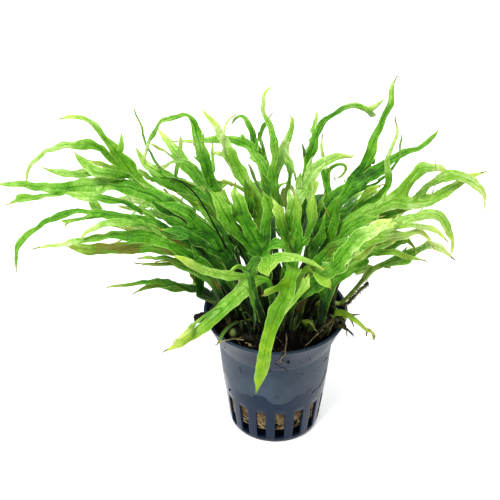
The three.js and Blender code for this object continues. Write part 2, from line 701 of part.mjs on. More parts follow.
function growLobe(name, branches, lobe, seed) {
  const [start, ...rest] = pairs(lobe.path);
  const fork = nearestFork(branches, start);
  const { centre, left, normal, tangent } = fork.branch.frameAt(fork.u);
  const first = sight(rest[0][0], rest[0][1], centre.y);
  const side = Math.sign(first.sub(centre).dot(left)) || 1;
  const half = fork.branch.widthAt(fork.u) / 2;
  const base = centre.clone().addScaledVector(left, side * half);
  const points = rest.map(([across, up], i) => {
    const depth = THREE.MathUtils.lerp(centre.y, lobe.depth, (i + 1) / rest.length);
    const point = sight(across, up, depth);
    const { lack, away } = fork.branch.lackAt(point, side, lobe.width / 2);
    return point.addScaledVector(away, lack);
  });
  const made = new Branch([base, ...points], lobe.width, {
    taper: lobe.taper ?? 0.6,
    fork: { branch: fork.branch, facing: normal, along: tangent, side },
    seed,
  });
  fork.branch.forks.push({ lobe: made, side, at: fork.u * fork.branch.length });
  const free = (other, point) => {
    return other.owner === name && point.distanceTo(base) < 10 && other.point.distanceTo(base) < 12;
  };
  let best = null;
  for (const amount of SHIFTS) {
    if (!best || best.touches > 0) {
      made.shift(amount);
      const touches = countTouches(samplesOf(made, 2), free);
      if (!best || touches < best.touches) {
        best = { touches, amount };
      }
    }
  }
  made.shift(best.amount);
  return made;
}

// The place on a frond's own branches that a lobe's first reading lies nearest to, as seen from EYE.
function nearestFork(branches, [across, up]) {
  let best = null;
  for (const branch of branches) {
    for (let i = 4; i < 38; i += 1) {
      const u = i / 40;
      const onPlane = slideTo(branch.curve.getPointAt(u), 0);
      const distance = Math.hypot(onPlane.x - across, onPlane.z - up);
      if (!best || distance < best.distance) {
        best = { distance, branch, u };
      }
    }
  }
  return best;
}

// Where the sections of a branch go: both ends of every fork, and even steps between them.
function stationsOf(branch) {
  const forks = [...branch.forks].sort((a, b) => a.at - b.at);
  const spans = [];
  for (const fork of forks) {
    const half = Math.min(Math.max(fork.lobe.width * 0.62, 1.2), 4);
    const last = spans[spans.length - 1];
    const overlaps = last && fork.at - half < last.end + 1;
    if (overlaps && !last.forks.some((other) => other.side === fork.side)) {
      last.forks.push(fork);
    } else {
      const at = overlaps ? last.end + half + 1.2 : fork.at;
      spans.push({ start: at - half, end: at + half, forks: [fork] });
    }
  }
  const stations = [{ at: 0 }];
  const fill = (to) => {
    const from = stations[stations.length - 1].at;
    stations.push(...splitStretch(branch, from, to).map((at) => ({ at })));
  };
  for (const span of spans) {
    fill(span.start);
    stations.push({ at: span.start, forks: span.forks });
    stations.push({ at: span.end });
  }
  fill(branch.length);
  const bare = branch.length - stations[stations.length - 1].at;
  if (bare > 1.5 * TIP_LENGTH) {
    stations.push({ at: branch.length - TIP_LENGTH });
  }
  return stations;
}

// Splits a stretch of a branch into spans, which are shorter where it bends sharply.
function splitStretch(branch, from, to) {
  const parts = Math.max(Math.ceil(to - from), 1);
  const part = (to - from) / parts;
  const reached = [0];
  let before = branch.curve.getTangentAt(from / branch.length);
  for (let i = 1; i <= parts; i += 1) {
    const tangent = branch.curve.getTangentAt(Math.min((from + part * i) / branch.length, 1));
    reached.push(reached[i - 1] + part / SECTION_STEP + tangent.angleTo(before) / MOST_TURN);
    before = tangent;
  }
  const count = Math.max(Math.round(reached[parts]), 1);
  const found = new Set();
  for (let i = 1; i < count; i += 1) {
    const goal = (reached[parts] * i) / count;
    found.add(from + part * reached.findIndex((sum) => sum >= goal));
  }
  return [...found];
}

// The mesh of a frond: four points to a section (left, top, right, bottom), quads between them.
class FrondMesh {
  constructor() {
    this.positions = [];
    this.triangles = [];
  }

  point(v) {
    this.positions.push(v.x, v.y, v.z);
    return this.positions.length / 3 - 1;
  }

  triangle(a, b, c) {
    this.triangles.push(a, b, c);
  }

  quad(a, b, c, d) {
    this.triangle(a, b, c);
    this.triangle(a, c, d);
  }

  section(branch, u) {
    const { centre, left, normal } = branch.frameAt(u);
    const width = branch.widthAt(u);
    if (branch.fork) {
      const { branch: parent, side } = branch.fork;
      const edges = [-0.5, 0, 0.5].map((share) => centre.clone().addScaledVector(left, share * width));
      const lacks = edges.map((edge) => parent.lackAt(edge, side, 0));
      const { lack, away } = lacks.reduce((most, one) => (one.lack > most.lack ? one : most));
      centre.addScaledVector(away, lack);
    }
    const round = smoothstep(3.4, 1.9, width);
    const thick = THREE.MathUtils.lerp(BLADE_HALF_THICKNESS, width * 0.36, round);
    return {
      left: this.point(centre.clone().addScaledVector(left, width / 2)),
      top: this.point(centre.clone().addScaledVector(normal, thick)),
      right: this.point(centre.clone().addScaledVector(left, -width / 2)),
      bottom: this.point(centre.clone().addScaledVector(normal, -thick)),
      centre,
      normal,
      thick,
    };
  }

  // One branch, from its first section to its tip, with its lobes.
  strip(branch, firstSection) {
    const stations = stationsOf(branch);
    let previous = firstSection ?? this.section(branch, 0);
    if (!firstSection) {
      this.quad(previous.left, previous.bottom, previous.right, previous.top);
    }
    for (let i = 1; i < stations.length; i += 1) {
      const next = this.section(branch, stations[i].at / branch.length);
      this.span(previous, next, stations[i - 1].forks ?? []);
      previous = next;
    }
    const tip = this.point(branch.curve.getPointAt(1));
    this.triangle(previous.left, previous.top, tip);
    this.triangle(previous.top, previous.right, tip);
    this.triangle(previous.right, previous.bottom, tip);
    this.triangle(previous.bottom, previous.left, tip);
  }

  span(a, b, forks) {
    const onLeft = forks.find((fork) => fork.side > 0);
    const onRight = forks.find((fork) => fork.side < 0);
    if (onLeft) {
      const [top, bottom] = this.budOf(a, b, onLeft.lobe, 'left');
      this.triangle(a.top, top, a.left);
      this.quad(a.top, b.top, b.left, top);
      this.triangle(a.bottom, a.left, bottom);
      this.quad(a.bottom, bottom, b.left, b.bottom);
      this.strip(onLeft.lobe, { left: a.left, top, right: b.left, bottom });
    } else {
      this.quad(a.top, b.top, b.left, a.left);
      this.quad(a.bottom, a.left, b.left, b.bottom);
    }
    if (onRight) {
      const [top, bottom] = this.budOf(a, b, onRight.lobe, 'right');
      this.triangle(a.top, a.right, top);
      this.quad(a.top, top, b.right, b.top);
      this.quad(a.bottom, b.bottom, b.right, bottom);
      this.triangle(a.bottom, bottom, a.right);
      this.strip(onRight.lobe, { left: b.right, top, right: a.right, bottom });
    } else {
      this.quad(a.top, a.right, b.right, b.top);
      this.quad(a.bottom, b.bottom, b.right, a.right);
    }
  }

  // The top and bottom points of a lobe's midrib, where it leaves the parent's edge.
  budOf(a, b, lobe, side) {
    const edge = this.at(a[side]).add(this.at(b[side])).multiplyScalar(0.5);
    const along = this.at(b[side]).sub(this.at(a[side]));
    const out = lobe.curve.getPointAt(BUD_REACH / lobe.length).sub(edge);
    const normal = along.cross(out).multiplyScalar(lobe.fork.side).normalize();
    const { facing } = lobe.fork;
    normal.addScaledVector(facing, 0.6 + Math.max(-normal.dot(facing), 0)).normalize();
    const thick = Math.min(a.thick, b.thick) * 0.85;
    return [
      this.point(edge.clone().addScaledVector(normal, thick)),
      this.point(edge.clone().addScaledVector(normal, -thick)),
    ];
  }

  at(i) {
    return new THREE.Vector3().fromArray(this.positions, i * 3);
  }

  geometry() {
    const geometry = new THREE.BufferGeometry();
    geometry.setAttribute('position', new THREE.Float32BufferAttribute(this.positions, 3));
    geometry.setIndex(this.triangles);
    return geometry;
  }
}

// Solids for the boolean cuts, and back again.
function toSolid(geometry) {
  const bare = geometry.index ? geometry.clone() : geometry;
  bare.deleteAttribute('normal');
  bare.deleteAttribute('uv');
  const merged = mergeVertices(bare, 1e-4);
  return new wasm.Manifold(new wasm.Mesh({
    numProp: 3,
    vertProperties: new Float32Array(merged.attributes.position.array),
    triVerts: new Uint32Array(merged.index.array),
  }));
}

function toGeometry(solid) {
  const mesh = solid.getMesh();
  const geometry = new THREE.BufferGeometry();
  geometry.setAttribute('position', new THREE.BufferAttribute(new Float32Array(mesh.vertProperties), 3));
  geometry.setIndex(new THREE.BufferAttribute(new Uint32Array(mesh.triVerts), 1));
  return geometry;
}

// A profile of [radius, height] points turned round the pot's axis.
function turned(profile, sides) {
  const points = profile.map(([radius, height]) => new THREE.Vector2(radius, height));
  return new THREE.LatheGeometry(points, sides).rotateX(Math.PI / 2);
}

function innerRadius(height) {
  const wall = [...WALL_OUTSIDE, [COLLAR_RADIUS, COLLAR_BOTTOM], [RIM_RADIUS, POT_HEIGHT]];
  const i = Math.max(wall.findIndex((point) => point[1] >= height), 1);
  const [r0, z0] = wall[i - 1];
  const [r1, z1] = wall[i];
  return THREE.MathUtils.lerp(r0, r1, (height - z0) / (z1 - z0)) - WALL;
}

function makePot() {
  const outside = [[0, 0], ...WALL_OUTSIDE, [COLLAR_RADIUS, COLLAR_BOTTOM], [RIM_RADIUS, POT_HEIGHT]];
  const heights = [POT_HEIGHT, COLLAR_BOTTOM + 0.6, 32, 18.5, 4, WALL];
  const inside = heights.map((height) => [innerRadius(height), height]);
  let solid = toSolid(turned([...outside, ...inside, [0, WALL]], POT_SIDES));
  const slotHeight = SLOT_TOP - SLOT_BOTTOM;
  for (let i = 0; i < SLOT_COUNT; i += 1) {
    const slot = new THREE.BoxGeometry(SLOT_WIDTH, 8, slotHeight);
    slot.translate(0, -18, SLOT_BOTTOM + slotHeight / 2);
    slot.rotateZ(THREE.MathUtils.degToRad(FIRST_SLOT + (i * 360) / SLOT_COUNT));
    solid = solid.subtract(toSolid(slot));
  }
  return toGeometry(solid);
}

function makeWool() {
  const side = [WOOL_BOTTOM, 18.5, 32, 38.5, WOOL_TOP - 3].map((height) => {
    return [innerRadius(height) - GAP, height];
  });
  const shoulder = innerRadius(WOOL_TOP - 3) - 2;
  const crownHeight = WOOL_TOP + WOOL_CROWN;
  const top = [[shoulder, WOOL_TOP], [shoulder * 0.55, crownHeight], [0, crownHeight]];
  return turned([[0, WOOL_BOTTOM], ...side, ...top], WOOL_SIDES);
}

// A round stem along a curve, closed at both ends.
function tube(points, radius, sides, steps) {
  const circle = new THREE.Shape();
  for (let i = 0; i < sides; i += 1) {
    const angle = (i / sides) * Math.PI * 2;
    const x = radius * Math.cos(angle);
    const y = radius * Math.sin(angle);
    if (i) {
      circle.lineTo(x, y);
    } else {
      circle.moveTo(x, y);
    }
  }
  const curve = new THREE.CatmullRomCurve3(points.map((p) => new THREE.Vector3(...p)));
  return new THREE.ExtrudeGeometry(circle, { steps, extrudePath: curve, bevelEnabled: false });
}

function makeRhizome(index) {
  const half = RHIZOME_HALF_LENGTHS[index];
  const points = [];
  for (let i = 0; i <= 6; i += 1) {
    points.push(rhizomePoint(index, THREE.MathUtils.lerp(-half, half, i / 6)).toArray());
  }
  return tube(points, RHIZOME_RADIUS, 7, 8);
}

function makeDeadLeaf() {
  const points = DEAD_LEAF.map((p) => new THREE.Vector3(...p));
  const branch = new Branch(points, DEAD_LEAF_WIDTH, { taper: 0.45, seed: 901 });
  const mesh = new FrondMesh();
  mesh.strip(branch);
  return mesh.geometry();
}

// A lump of moss and fine roots: a rounded solid with uneven bumps.
function makeClump() {
  const geometry = new THREE.IcosahedronGeometry(1, 2);
  geometry.deleteAttribute('normal');
  geometry.deleteAttribute('uv');
  const lump = mergeVertices(geometry, 1e-4);
  const position = lump.attributes.position;
  const random = makeRandom(77);
  for (let i = 0; i < position.count; i += 1) {
    const swell = 0.82 + 0.36 * random();
    position.setXYZ(i, position.getX(i) * swell, position.getY(i) * swell, position.getZ(i) * swell);
  }
  lump.scale(6.6, 2.4, 2.1);
  lump.rotateY(-0.72);
  return lump;
}

const plant = new THREE.Group();

function add(parent, name, geometry, color, roughness) {
  const finish = { color, roughness, metalness: 0, flatShading: true };
  const mesh = new THREE.Mesh(geometry, new THREE.MeshStandardMaterial(finish));
  mesh.name = name;
  parent.add(mesh);
  return mesh;
}

// The pot and what fills it.
const pot = new THREE.Group();
plant.add(pot);
add(pot, 'net_pot', makePot(), COLOURS.pot, 0.35);
add(pot, 'wool_plug', makeWool(), COLOURS.wool, 0.95);

const crown = new THREE.Group();
plant.add(crown);
RHIZOME_HALF_LENGTHS.forEach((half, i) => {
  add(crown, `rhizome_${i + 1}`, makeRhizome(i), COLOURS.rhizome, 0.7);
});

const STUB = [[-19.5, -9, 54.5], [-24, -9.6, 54.2], [-29.5, -10.2, 53.6]];
const TWIG = [[-19.5, -13.2, 49.4], [-15.5, -17.6, 49.8], [-9.6, -20.5, 49]];
const HANGING_ROOT = [[5.4, -19.5, 47.4], [5.8, -23, 51], [5.2, -26.6, 52.6], [4.3, -28.2, 51.2],
  [3.5, -27.8, 48.4], [2.8, -27.2, 46.4]];
const clump = add(crown, 'root_clump', makeClump(), COLOURS.moss, 0.95);
clump.position.set(28, -3.5, 58.2);
const debris = [
  clump,
  add(crown, 'broken_stub', tube(STUB, 1.9, 7, 7), COLOURS.dead, 0.9),
  add(crown, 'dry_twig', tube(TWIG, 0.5, 5, 6), COLOURS.dry, 0.85),
  add(crown, 'hanging_root', tube(HANGING_ROOT, 0.5, 5, 9), COLOURS.dry, 0.85),
  add(crown, 'dead_leaf', makeDeadLeaf(), COLOURS.dead, 0.9),
];

// What is already in the way of the fronds: the pot's collar and rim, and the small pieces.
for (let i = 0; i < 160; i += 1) {
  const angle = (i / 160) * Math.PI * 2;
  for (let height = 30; height <= POT_HEIGHT; height += 1.5) {
    const radius = innerRadius(height) + WALL / 2;
    take([new THREE.Vector3(radius * Math.cos(angle), radius * Math.sin(angle), height)], 'net_pot', 0);
  }
}
for (const mesh of debris) {
  mesh.updateMatrixWorld();
  const corners = mesh.geometry.attributes.position;
  for (let i = 0; i < corners.count; i += 1) {
    const corner = new THREE.Vector3().fromBufferAttribute(corners, i);
    take([corner.applyMatrix4(mesh.matrixWorld)], mesh.name, 0);
  }
}

// The fronds, placed in the order in which they matter to the view from the front.
const fronds = new THREE.Group();
plant.add(fronds);
const PLACED = [
  'frond_front', 'young', 'frond_right_hand', 'frond_right_long', 'frond_right', 'frond_left',
  'frond_top', 'frond_centre', 'frond_back',
];
const grown = new Set();
for (const group of PLACED) {
  for (const [name, row] of Object.entries(FRONDS)) {
    if (name.startsWith(group) && !grown.has(name)) {
      grown.add(name);
      const seed = Object.keys(FRONDS).indexOf(name) + 11;
      const [rib] = growFrond(name, row, seed);
      const mesh = new FrondMesh();
      mesh.strip(rib);
      add(fronds, name, mesh.geometry(), COLOURS.frond, 0.45);
    }
  }
}

export default plant;
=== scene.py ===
# %% [markdown]
# # A potted trident java fern
#
# A java fern of the narrow, forked kind grows from creeping stems that lie on a plug of growing
# wool. The plug sits in a small net pot, and the fronds arch out of it to every side.
# The frame that is loaded here holds plain, faceted solids of every piece at its real size. This
# lesson gives each of them the surface of the real thing, and leaves its size and place alone.
# Blender's noise starts from the clock, so it gets a fixed seed: every run makes the same plant.

# %% Load the frame
import math
import random

import bmesh
import bpy
import numpy as np
from mathutils import Matrix, Vector, noise


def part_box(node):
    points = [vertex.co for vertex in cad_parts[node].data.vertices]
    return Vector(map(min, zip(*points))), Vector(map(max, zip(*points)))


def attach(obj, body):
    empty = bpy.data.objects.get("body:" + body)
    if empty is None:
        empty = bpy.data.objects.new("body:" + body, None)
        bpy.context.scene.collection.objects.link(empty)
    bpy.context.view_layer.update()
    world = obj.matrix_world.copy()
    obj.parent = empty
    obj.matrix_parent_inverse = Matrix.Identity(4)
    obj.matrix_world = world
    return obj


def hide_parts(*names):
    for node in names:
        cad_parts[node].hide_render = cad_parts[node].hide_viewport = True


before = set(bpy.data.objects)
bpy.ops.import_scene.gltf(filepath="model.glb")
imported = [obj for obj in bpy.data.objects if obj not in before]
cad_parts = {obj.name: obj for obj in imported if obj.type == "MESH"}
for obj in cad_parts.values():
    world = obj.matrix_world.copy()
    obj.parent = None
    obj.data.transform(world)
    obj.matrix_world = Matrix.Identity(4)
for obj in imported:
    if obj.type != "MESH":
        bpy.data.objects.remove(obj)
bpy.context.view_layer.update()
MM = 0.001
NOISE_SEED = 1
noise.seed_set(NOISE_SEED)

# %% [markdown]
# ## Camera
#
# The photograph looks down on the plant from the front, from about half a metre away, through a
# long lens. A long lens keeps the far fronds as large as the near ones. The camera comes first,
# because every later choice is compared with the photograph through it.

# %% Camera
EYE = Vector((-0.5, -401.9, 358.4)) * MM
AIM = Vector((-9.6, 7.8, 71.5)) * MM
lens = bpy.data.cameras.new("camera")
lens.lens = 99
lens.sensor_width = 36
camera = bpy.data.objects.new("camera", lens)
camera.location = EYE
camera.rotation_euler = (AIM - EYE).to_track_quat("-Z", "Y").to_euler()
bpy.context.scene.collection.objects.link(camera)
bpy.context.scene.camera = camera
print("camera distance in mm:", round((AIM - EYE).length / MM))

# %% [markdown]
# ## Floor and light
#
# The plant was photographed on white, with soft light from all sides and a little more from
# above. A white world gives the light from all sides, and two large area lights give the rest.
# The plain view transform keeps the fresh greens as bright as they were.

# %% Floor
bpy.context.scene.view_settings.view_transform = "Standard"
FLOOR_SIZE = 6.0
shape = bmesh.new()
bmesh.ops.create_grid(shape, x_segments=1, y_segments=1, size=FLOOR_SIZE / 2)
floor_mesh = bpy.data.meshes.new("floor")
shape.to_mesh(floor_mesh)
shape.free()
floor = bpy.data.objects.new("floor", floor_mesh)
bpy.context.scene.collection.objects.link(floor)
floor_finish = bpy.data.materials.new("floor")
floor_finish.use_nodes = True
floor_shader = floor_finish.node_tree.nodes["Principled BSDF"]
floor_shader.inputs["Base Color"].default_value = (0.93, 0.93, 0.94, 1)
floor_shader.inputs["Roughness"].default_value = 0.6
floor_mesh.materials.append(floor_finish)
print("floor:", FLOOR_SIZE, "m across")

# %% Lights
world = bpy.data.worlds.new("studio")
bpy.context.scene.world = world
world.use_nodes = True
WORLD_STRENGTH = 0.84
world.node_tree.nodes["Background"].inputs["Color"].default_value = (1, 1, 1, 1)
world.node_tree.nodes["Background"].inputs["Strength"].default_value = WORLD_STRENGTH


def area_light(name, place, size, power):
    """A square soft light that faces the middle of the plant."""
    data = bpy.data.lights.new(name, "AREA")
    data.energy = power
    data.size = size
    lamp = bpy.data.objects.new(name, data)
    lamp.location = place
    lamp.rotation_euler = (AIM - Vector(place)).to_track_quat("-Z", "Y").to_euler()
    bpy.context.scene.collection.objects.link(lamp)
    return lamp


area_light("key", (-0.3, -0.4, 0.85), 0.35, 12)
area_light("back", (0.35, 0.55, 0.8), 0.5, 7)

# %% [markdown]
# ## Helpers for new pieces
#
# Every piece is a mesh object that rides on the body of the pot, stands for one or more solids of the
# frame, and takes the finish that it is given.

# %% Helpers for new pieces


def put(name, mesh, material, nodes=(), sharp=None):
    """Makes the mesh a piece of the plant that stands for the named solids."""
    piece = bpy.data.objects.new(name, mesh)
    bpy.context.scene.collection.objects.link(piece)
    mesh.materials.clear()
    mesh.materials.append(material)
    mesh.shade_smooth()
    if sharp:
        mesh.set_sharp_from_angle(angle=math.radians(sharp))
    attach(piece, "root")
    if nodes:
        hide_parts(*nodes)
    return piece


def copied(node):
    """A bmesh of a node's solid, with the loose triangles of the frame merged."""
    shape = bmesh.new()
    shape.from_mesh(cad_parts[node].data)
    bmesh.ops.remove_doubles(shape, verts=shape.verts, dist=0.002 * MM)
    bmesh.ops.recalc_face_normals(shape, faces=shape.faces)
    return shape


def to_mesh(shape, name):
    """Turns a finished bmesh into a mesh."""
    mesh = bpy.data.meshes.new(name)
    shape.to_mesh(mesh)
    shape.free()
    return mesh


print("solids to dress:", len(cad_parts))

# %% [markdown]
# ### Modifiers and strands
#
# A modifier could stay on its object. Here it is applied at once, because the later steps move
# the fine points that it made. A strand could be a tube of faces, but a curve with a round bevel
# needs only the places and the radii along its middle.

# %% Modifiers
def evaluated(holder):
    """The mesh of an object after its modifiers or its curve's bevel; the object is removed."""
    bpy.context.scene.collection.objects.link(holder)
    depsgraph = bpy.context.evaluated_depsgraph_get()
    fine = bpy.data.meshes.new_from_object(holder.evaluated_get(depsgraph))
    bpy.data.objects.remove(holder)
    return fine


def smoothed(holder, levels):
    """The object's mesh, with Subdivision Surface after its other modifiers."""
    smooth = holder.modifiers.new("smooth", "SUBSURF")
    smooth.levels = levels
    smooth.render_levels = levels
    return evaluated(holder)


def subdivided(mesh, levels):
    """The mesh after Subdivision Surface, as a new mesh with the same attributes."""
    return smoothed(bpy.data.objects.new("cage", mesh), levels)


def fine_solid(node, levels):
    """A node's solid after Subdivision Surface."""
    return subdivided(to_mesh(copied(node), node), levels)


def thickened(mesh, thickness):
    """A sheet with a thickness and rounded edges."""
    holder = bpy.data.objects.new("sheet", mesh)
    wall = holder.modifiers.new("wall", "SOLIDIFY")
    wall.thickness = thickness * MM
    wall.offset = 0
    return smoothed(holder, 1)


# %% Strands
def put_strands(name, paths, material, nodes=(), sides=0):
    """Makes thin round strands a piece. A path is a list of (place, radius) in millimetres, and
    sides is the bevel resolution of their round section."""
    curve = bpy.data.curves.new(name, "CURVE")
    curve.dimensions = "3D"
    curve.bevel_depth = MM
    curve.bevel_resolution = sides
    curve.use_fill_caps = True
    for path in paths:
        spline = curve.splines.new("POLY")
        spline.points.add(len(path) - 1)
        for point, (place, radius) in zip(spline.points, path):
            point.co = (*(Vector(place) * MM), 1)
            point.radius = radius
    put(name, evaluated(bpy.data.objects.new(name, curve)), material, nodes)


# %% Values and places of the points
def read_values(mesh, name, width=1):
    """A point attribute as an array."""
    values = np.zeros(len(mesh.vertices) * width)
    mesh.attributes[name].data.foreach_get("vector" if width == 3 else "value", values)
    return values.reshape(-1, width) if width > 1 else values


def write_value(mesh, name, value):
    """Stores a number, or one number for each point, as an attribute of the mesh."""
    layer = mesh.attributes.get(name) or mesh.attributes.new(name, "FLOAT", "POINT")
    values = np.zeros(len(mesh.vertices), np.float32) + value
    layer.data.foreach_set("value", values.astype(np.float32))


def vectors(mesh, kind):
    """The places ("co", in metres) or the normals ("normal") of the mesh's points."""
    values = np.zeros(len(mesh.vertices) * 3)
    mesh.vertices.foreach_get(kind, values)
    return values.reshape(-1, 3)


def places(mesh):
    """The places of the mesh's points, in millimetres."""
    return vectors(mesh, "co") / MM


def move_to(mesh, points):
    """Moves the mesh's points to these places, in millimetres."""
    mesh.vertices.foreach_set("co", (points * MM).astype(np.float32).ravel())
    mesh.update()


print("points of the pot's solid:", len(places(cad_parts["net_pot"].data)))


# %% Noise
def rough(points, size, seed):
    """Smooth noise from -1 to 1 at each place, with lumps of the given size in millimetres."""
    shift = Vector((seed * 17.3, seed * 5.1, seed * 9.7))
    return np.array([noise.noise(Vector(p) / size + shift) for p in points])


def drift(points, size, seed):
    """Smooth noise in three directions at each place."""
    shift = Vector((seed * 7.7, seed * 3.3, seed * 11.9))
    return np.array([noise.noise_vector(Vector(p) / size + shift) for p in points])


def ease(low, high, values):
    """0 below low, 1 above high, and smooth in between."""
    t = np.clip((values - low) / (high - low), 0, 1)
    return t * t * (3 - 2 * t)


def noise_sum(points, waves, seed):
    """The sum of several sizes of noise: waves is a list of (size, depth)."""
    return sum(depth * rough(points, size, seed + i) for i, (size, depth) in enumerate(waves))


def bumpy(mesh, lumps, seed):
    """Moves a mesh's points along their normals by noise: lumps is a list of (size, depth)."""
    points = places(mesh)
    lift = noise_sum(points, lumps, seed)
    move_to(mesh, points + vectors(mesh, "normal") * lift[:, None])


print("noise at two places:", rough([(1, 2, 3), (1, 2, 4)], 4.0, 1).round(3))


# %% [markdown]
# ## Helpers for finishes
#
# The materials are built from nodes. Two effects come back in almost every one of them, patches
# of another shade and a fine grain, so each is a node group with its own inputs. A group puts
# out only a mask or a normal, and the Principled shader stays in the material itself.

# %% Helpers for finishes


def linear(r, g, b):
    """A colour as read off a screen, 0 to 255, as the shader needs it."""
    values = [v / 255 for v in (r, g, b)]
    return tuple(v / 12.92 if v <= 0.04045 else ((v + 0.055) / 1.055) ** 2.4 for v in values) + (1,)


class Nodes:
    """A short way to add and link the nodes of one tree."""

    def __init__(self, tree):
        self.tree = tree

    def add(self, kind, **values):
        node = self.tree.nodes.new(kind)
        for key, value in values.items():
            setattr(node, key, value)
        return node

    def set(self, socket, value):
        if isinstance(value, bpy.types.NodeSocket):
            self.tree.links.new(value, socket)
        else:
            socket.default_value = value

    def attribute(self, name):
        return self.add("ShaderNodeAttribute", attribute_name=name).outputs["Fac"]

    def object_place(self):
        return self.add("ShaderNodeTexCoord").outputs["Object"]

    def split(self, vector):
        node = self.add("ShaderNodeSeparateXYZ")
        self.set(node.inputs[0], vector)
        return node.outputs

    def math(self, operation, a, b=0.5, clamp=False):
        node = self.add("ShaderNodeMath", operation=operation, use_clamp=clamp)
        self.set(node.inputs[0], a)
        self.set(node.inputs[1], b)
        return node.outputs[0]

    def times(self, a, b):
        return self.math("MULTIPLY", a, b)

    def plus(self, a, b):
        return self.math("ADD", a, b)

    def span(self, value, low, high, to_low=0.0, to_high=1.0):
        node = self.add("ShaderNodeMapRange", interpolation_type="SMOOTHSTEP")
        names = ("Value", "From Min", "From Max", "To Min", "To Max")
        for name, number in zip(names, (value, low, high, to_low, to_high)):
            self.set(node.inputs[name], number)
        return node.outputs["Result"]

    def mix(self, share, a, b):
        node = self.add("ShaderNodeMix", data_type="RGBA")
        for index, value in zip((0, 6, 7), (share, a, b)):
            self.set(node.inputs[index], value)
        return node.outputs[2]

    def shades(self, mask, dark, light):
        return self.mix(mask, linear(*dark), linear(*light))

    def tint(self, colour, mask, share, shade):
        return self.mix(self.times(mask, share), colour, linear(*shade))

    def noise(self, vector, scale, detail):
        node = self.add("ShaderNodeTexNoise")
        self.set(node.inputs["Vector"], vector)
        self.set(node.inputs["Scale"], scale)
        self.set(node.inputs["Detail"], detail)
        return node.outputs["Fac"]

    def group(self, name, **values):
        node = self.add("ShaderNodeGroup", node_tree=bpy.data.node_groups[name])
        for key, value in values.items():
            self.set(node.inputs[key.capitalize()], value)
        return node.outputs[0]

    def mottle(self, scale, low, high, detail=3.0):
        return self.group("mottle", scale=scale, low=low, high=high, detail=detail)


# %% Node groups
def new_group(name, inputs, kind, output):
    """An empty node group with these number inputs and one output."""
    tree = bpy.data.node_groups.new(name, "ShaderNodeTree")
    for label, value in inputs.items():
        socket = tree.interface.new_socket(label, in_out="INPUT", socket_type="NodeSocketFloat")
        socket.default_value = value
    tree.interface.new_socket(output, in_out="OUTPUT", socket_type=kind)
    nodes = Nodes(tree)
    return nodes, nodes.add("NodeGroupInput").outputs, nodes.add("NodeGroupOutput").inputs[0]


def make_mottle():
    """Patches: 0 where the noise is under Low, 1 where it is over High."""
    nodes, given, result = new_group(
        "mottle", {"Scale": 100, "Detail": 3, "Low": 0.4, "High": 0.6}, "NodeSocketFloat", "Mask")
    lumps = nodes.noise(nodes.object_place(), given["Scale"], given["Detail"])
    nodes.set(result, nodes.span(lumps, given["Low"], given["High"]))


def make_grain():
    """A fine bump. Stretch over 1 draws it out along the height, and Depth is in metres."""
    nodes, given, result = new_group(
        "grain", {"Scale": 800, "Stretch": 1, "Depth": 0.0001}, "NodeSocketVector", "Normal")
    across, back, up = nodes.split(nodes.object_place())
    place = nodes.add("ShaderNodeCombineXYZ")
    for socket, value in zip(place.inputs, (across, back, nodes.math("DIVIDE", up, given["Stretch"]))):
        nodes.set(socket, value)
    bump = nodes.add("ShaderNodeBump")
    nodes.set(bump.inputs["Height"], nodes.noise(place.outputs[0], given["Scale"], 3.0))
    nodes.set(bump.inputs["Distance"], given["Depth"])
    bump.inputs["Strength"].default_value = 0.8
    nodes.set(result, bump.outputs["Normal"])


make_mottle()
make_grain()
print("node groups:", [g.name for g in bpy.data.node_groups])


# %% New materials
def new_material(name, roughness, specular=0.5):
    """A material with its Principled shader, and the helper for its tree."""
    material = bpy.data.materials.new(name)
    material.use_nodes = True
    nodes = Nodes(material.node_tree)
    shader = material.node_tree.nodes["Principled BSDF"]
    shader.inputs["Roughness"].default_value = roughness
    shader.inputs["Specular IOR Level"].default_value = specular
    return material, nodes, shader.inputs


def coat(nodes, shader, colour, **grain):
    """Gives the shader its colour and its fine grain."""
    nodes.set(shader["Base Color"], colour)
    nodes.set(shader["Normal"], nodes.group("grain", **grain))


print("materials so far:", len(bpy.data.materials))


# %% [markdown]
# ## The pot
#
# The net pot is one thin moulding. Its profile, outside and inside, is spun round the axis, the
# faces of the slots are taken out of both walls, and each pair of holes is bridged. A small bevel
# then gives the slots the soft edges of moulded plastic.

# %% Pot shape
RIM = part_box("net_pot")[1][0] / MM
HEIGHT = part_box("net_pot")[1][2] / MM
POT_STEPS = 192
SLOTS = 16
SLOT_STEPS = 6
FIRST_SLOT = math.radians(6.8)
SLOT_HEIGHTS = (2.2, 15.8)
SLOT_BEVEL = 0.2
HUB = 2.0
OUTSIDE = [(HUB, 0), (15.7, 0), (16.5, 0.15), (16.95, 0.8), (17.25, 2.2), (17.5, 4), (18.2, 9.5),
           (18.95, 15.8), (19.3, 18.5), (20, 25), (20.6, 32), (21.15, 38.7), (21.45, 38.95),
           (21.5, 39.5), (21.75, 40), (24.1, 45.4), (26.2, 50.1), (RIM, 50.55), (RIM - 0.1, 50.9),
           (RIM - 0.35, HEIGHT)]
INSIDE = [(RIM - 1, HEIGHT), (RIM - 1.3, 50.6), (22.95, 45.4), (20.65, 40.3), (20.05, 38.7),
          (19.5, 32), (18.9, 25), (18.2, 18.5), (17.85, 15.8), (17.1, 9.5), (16.4, 4),
          (16.15, 2.2), (15.7, 1.3), (14.9, 1.1), (HUB, 1.1)]


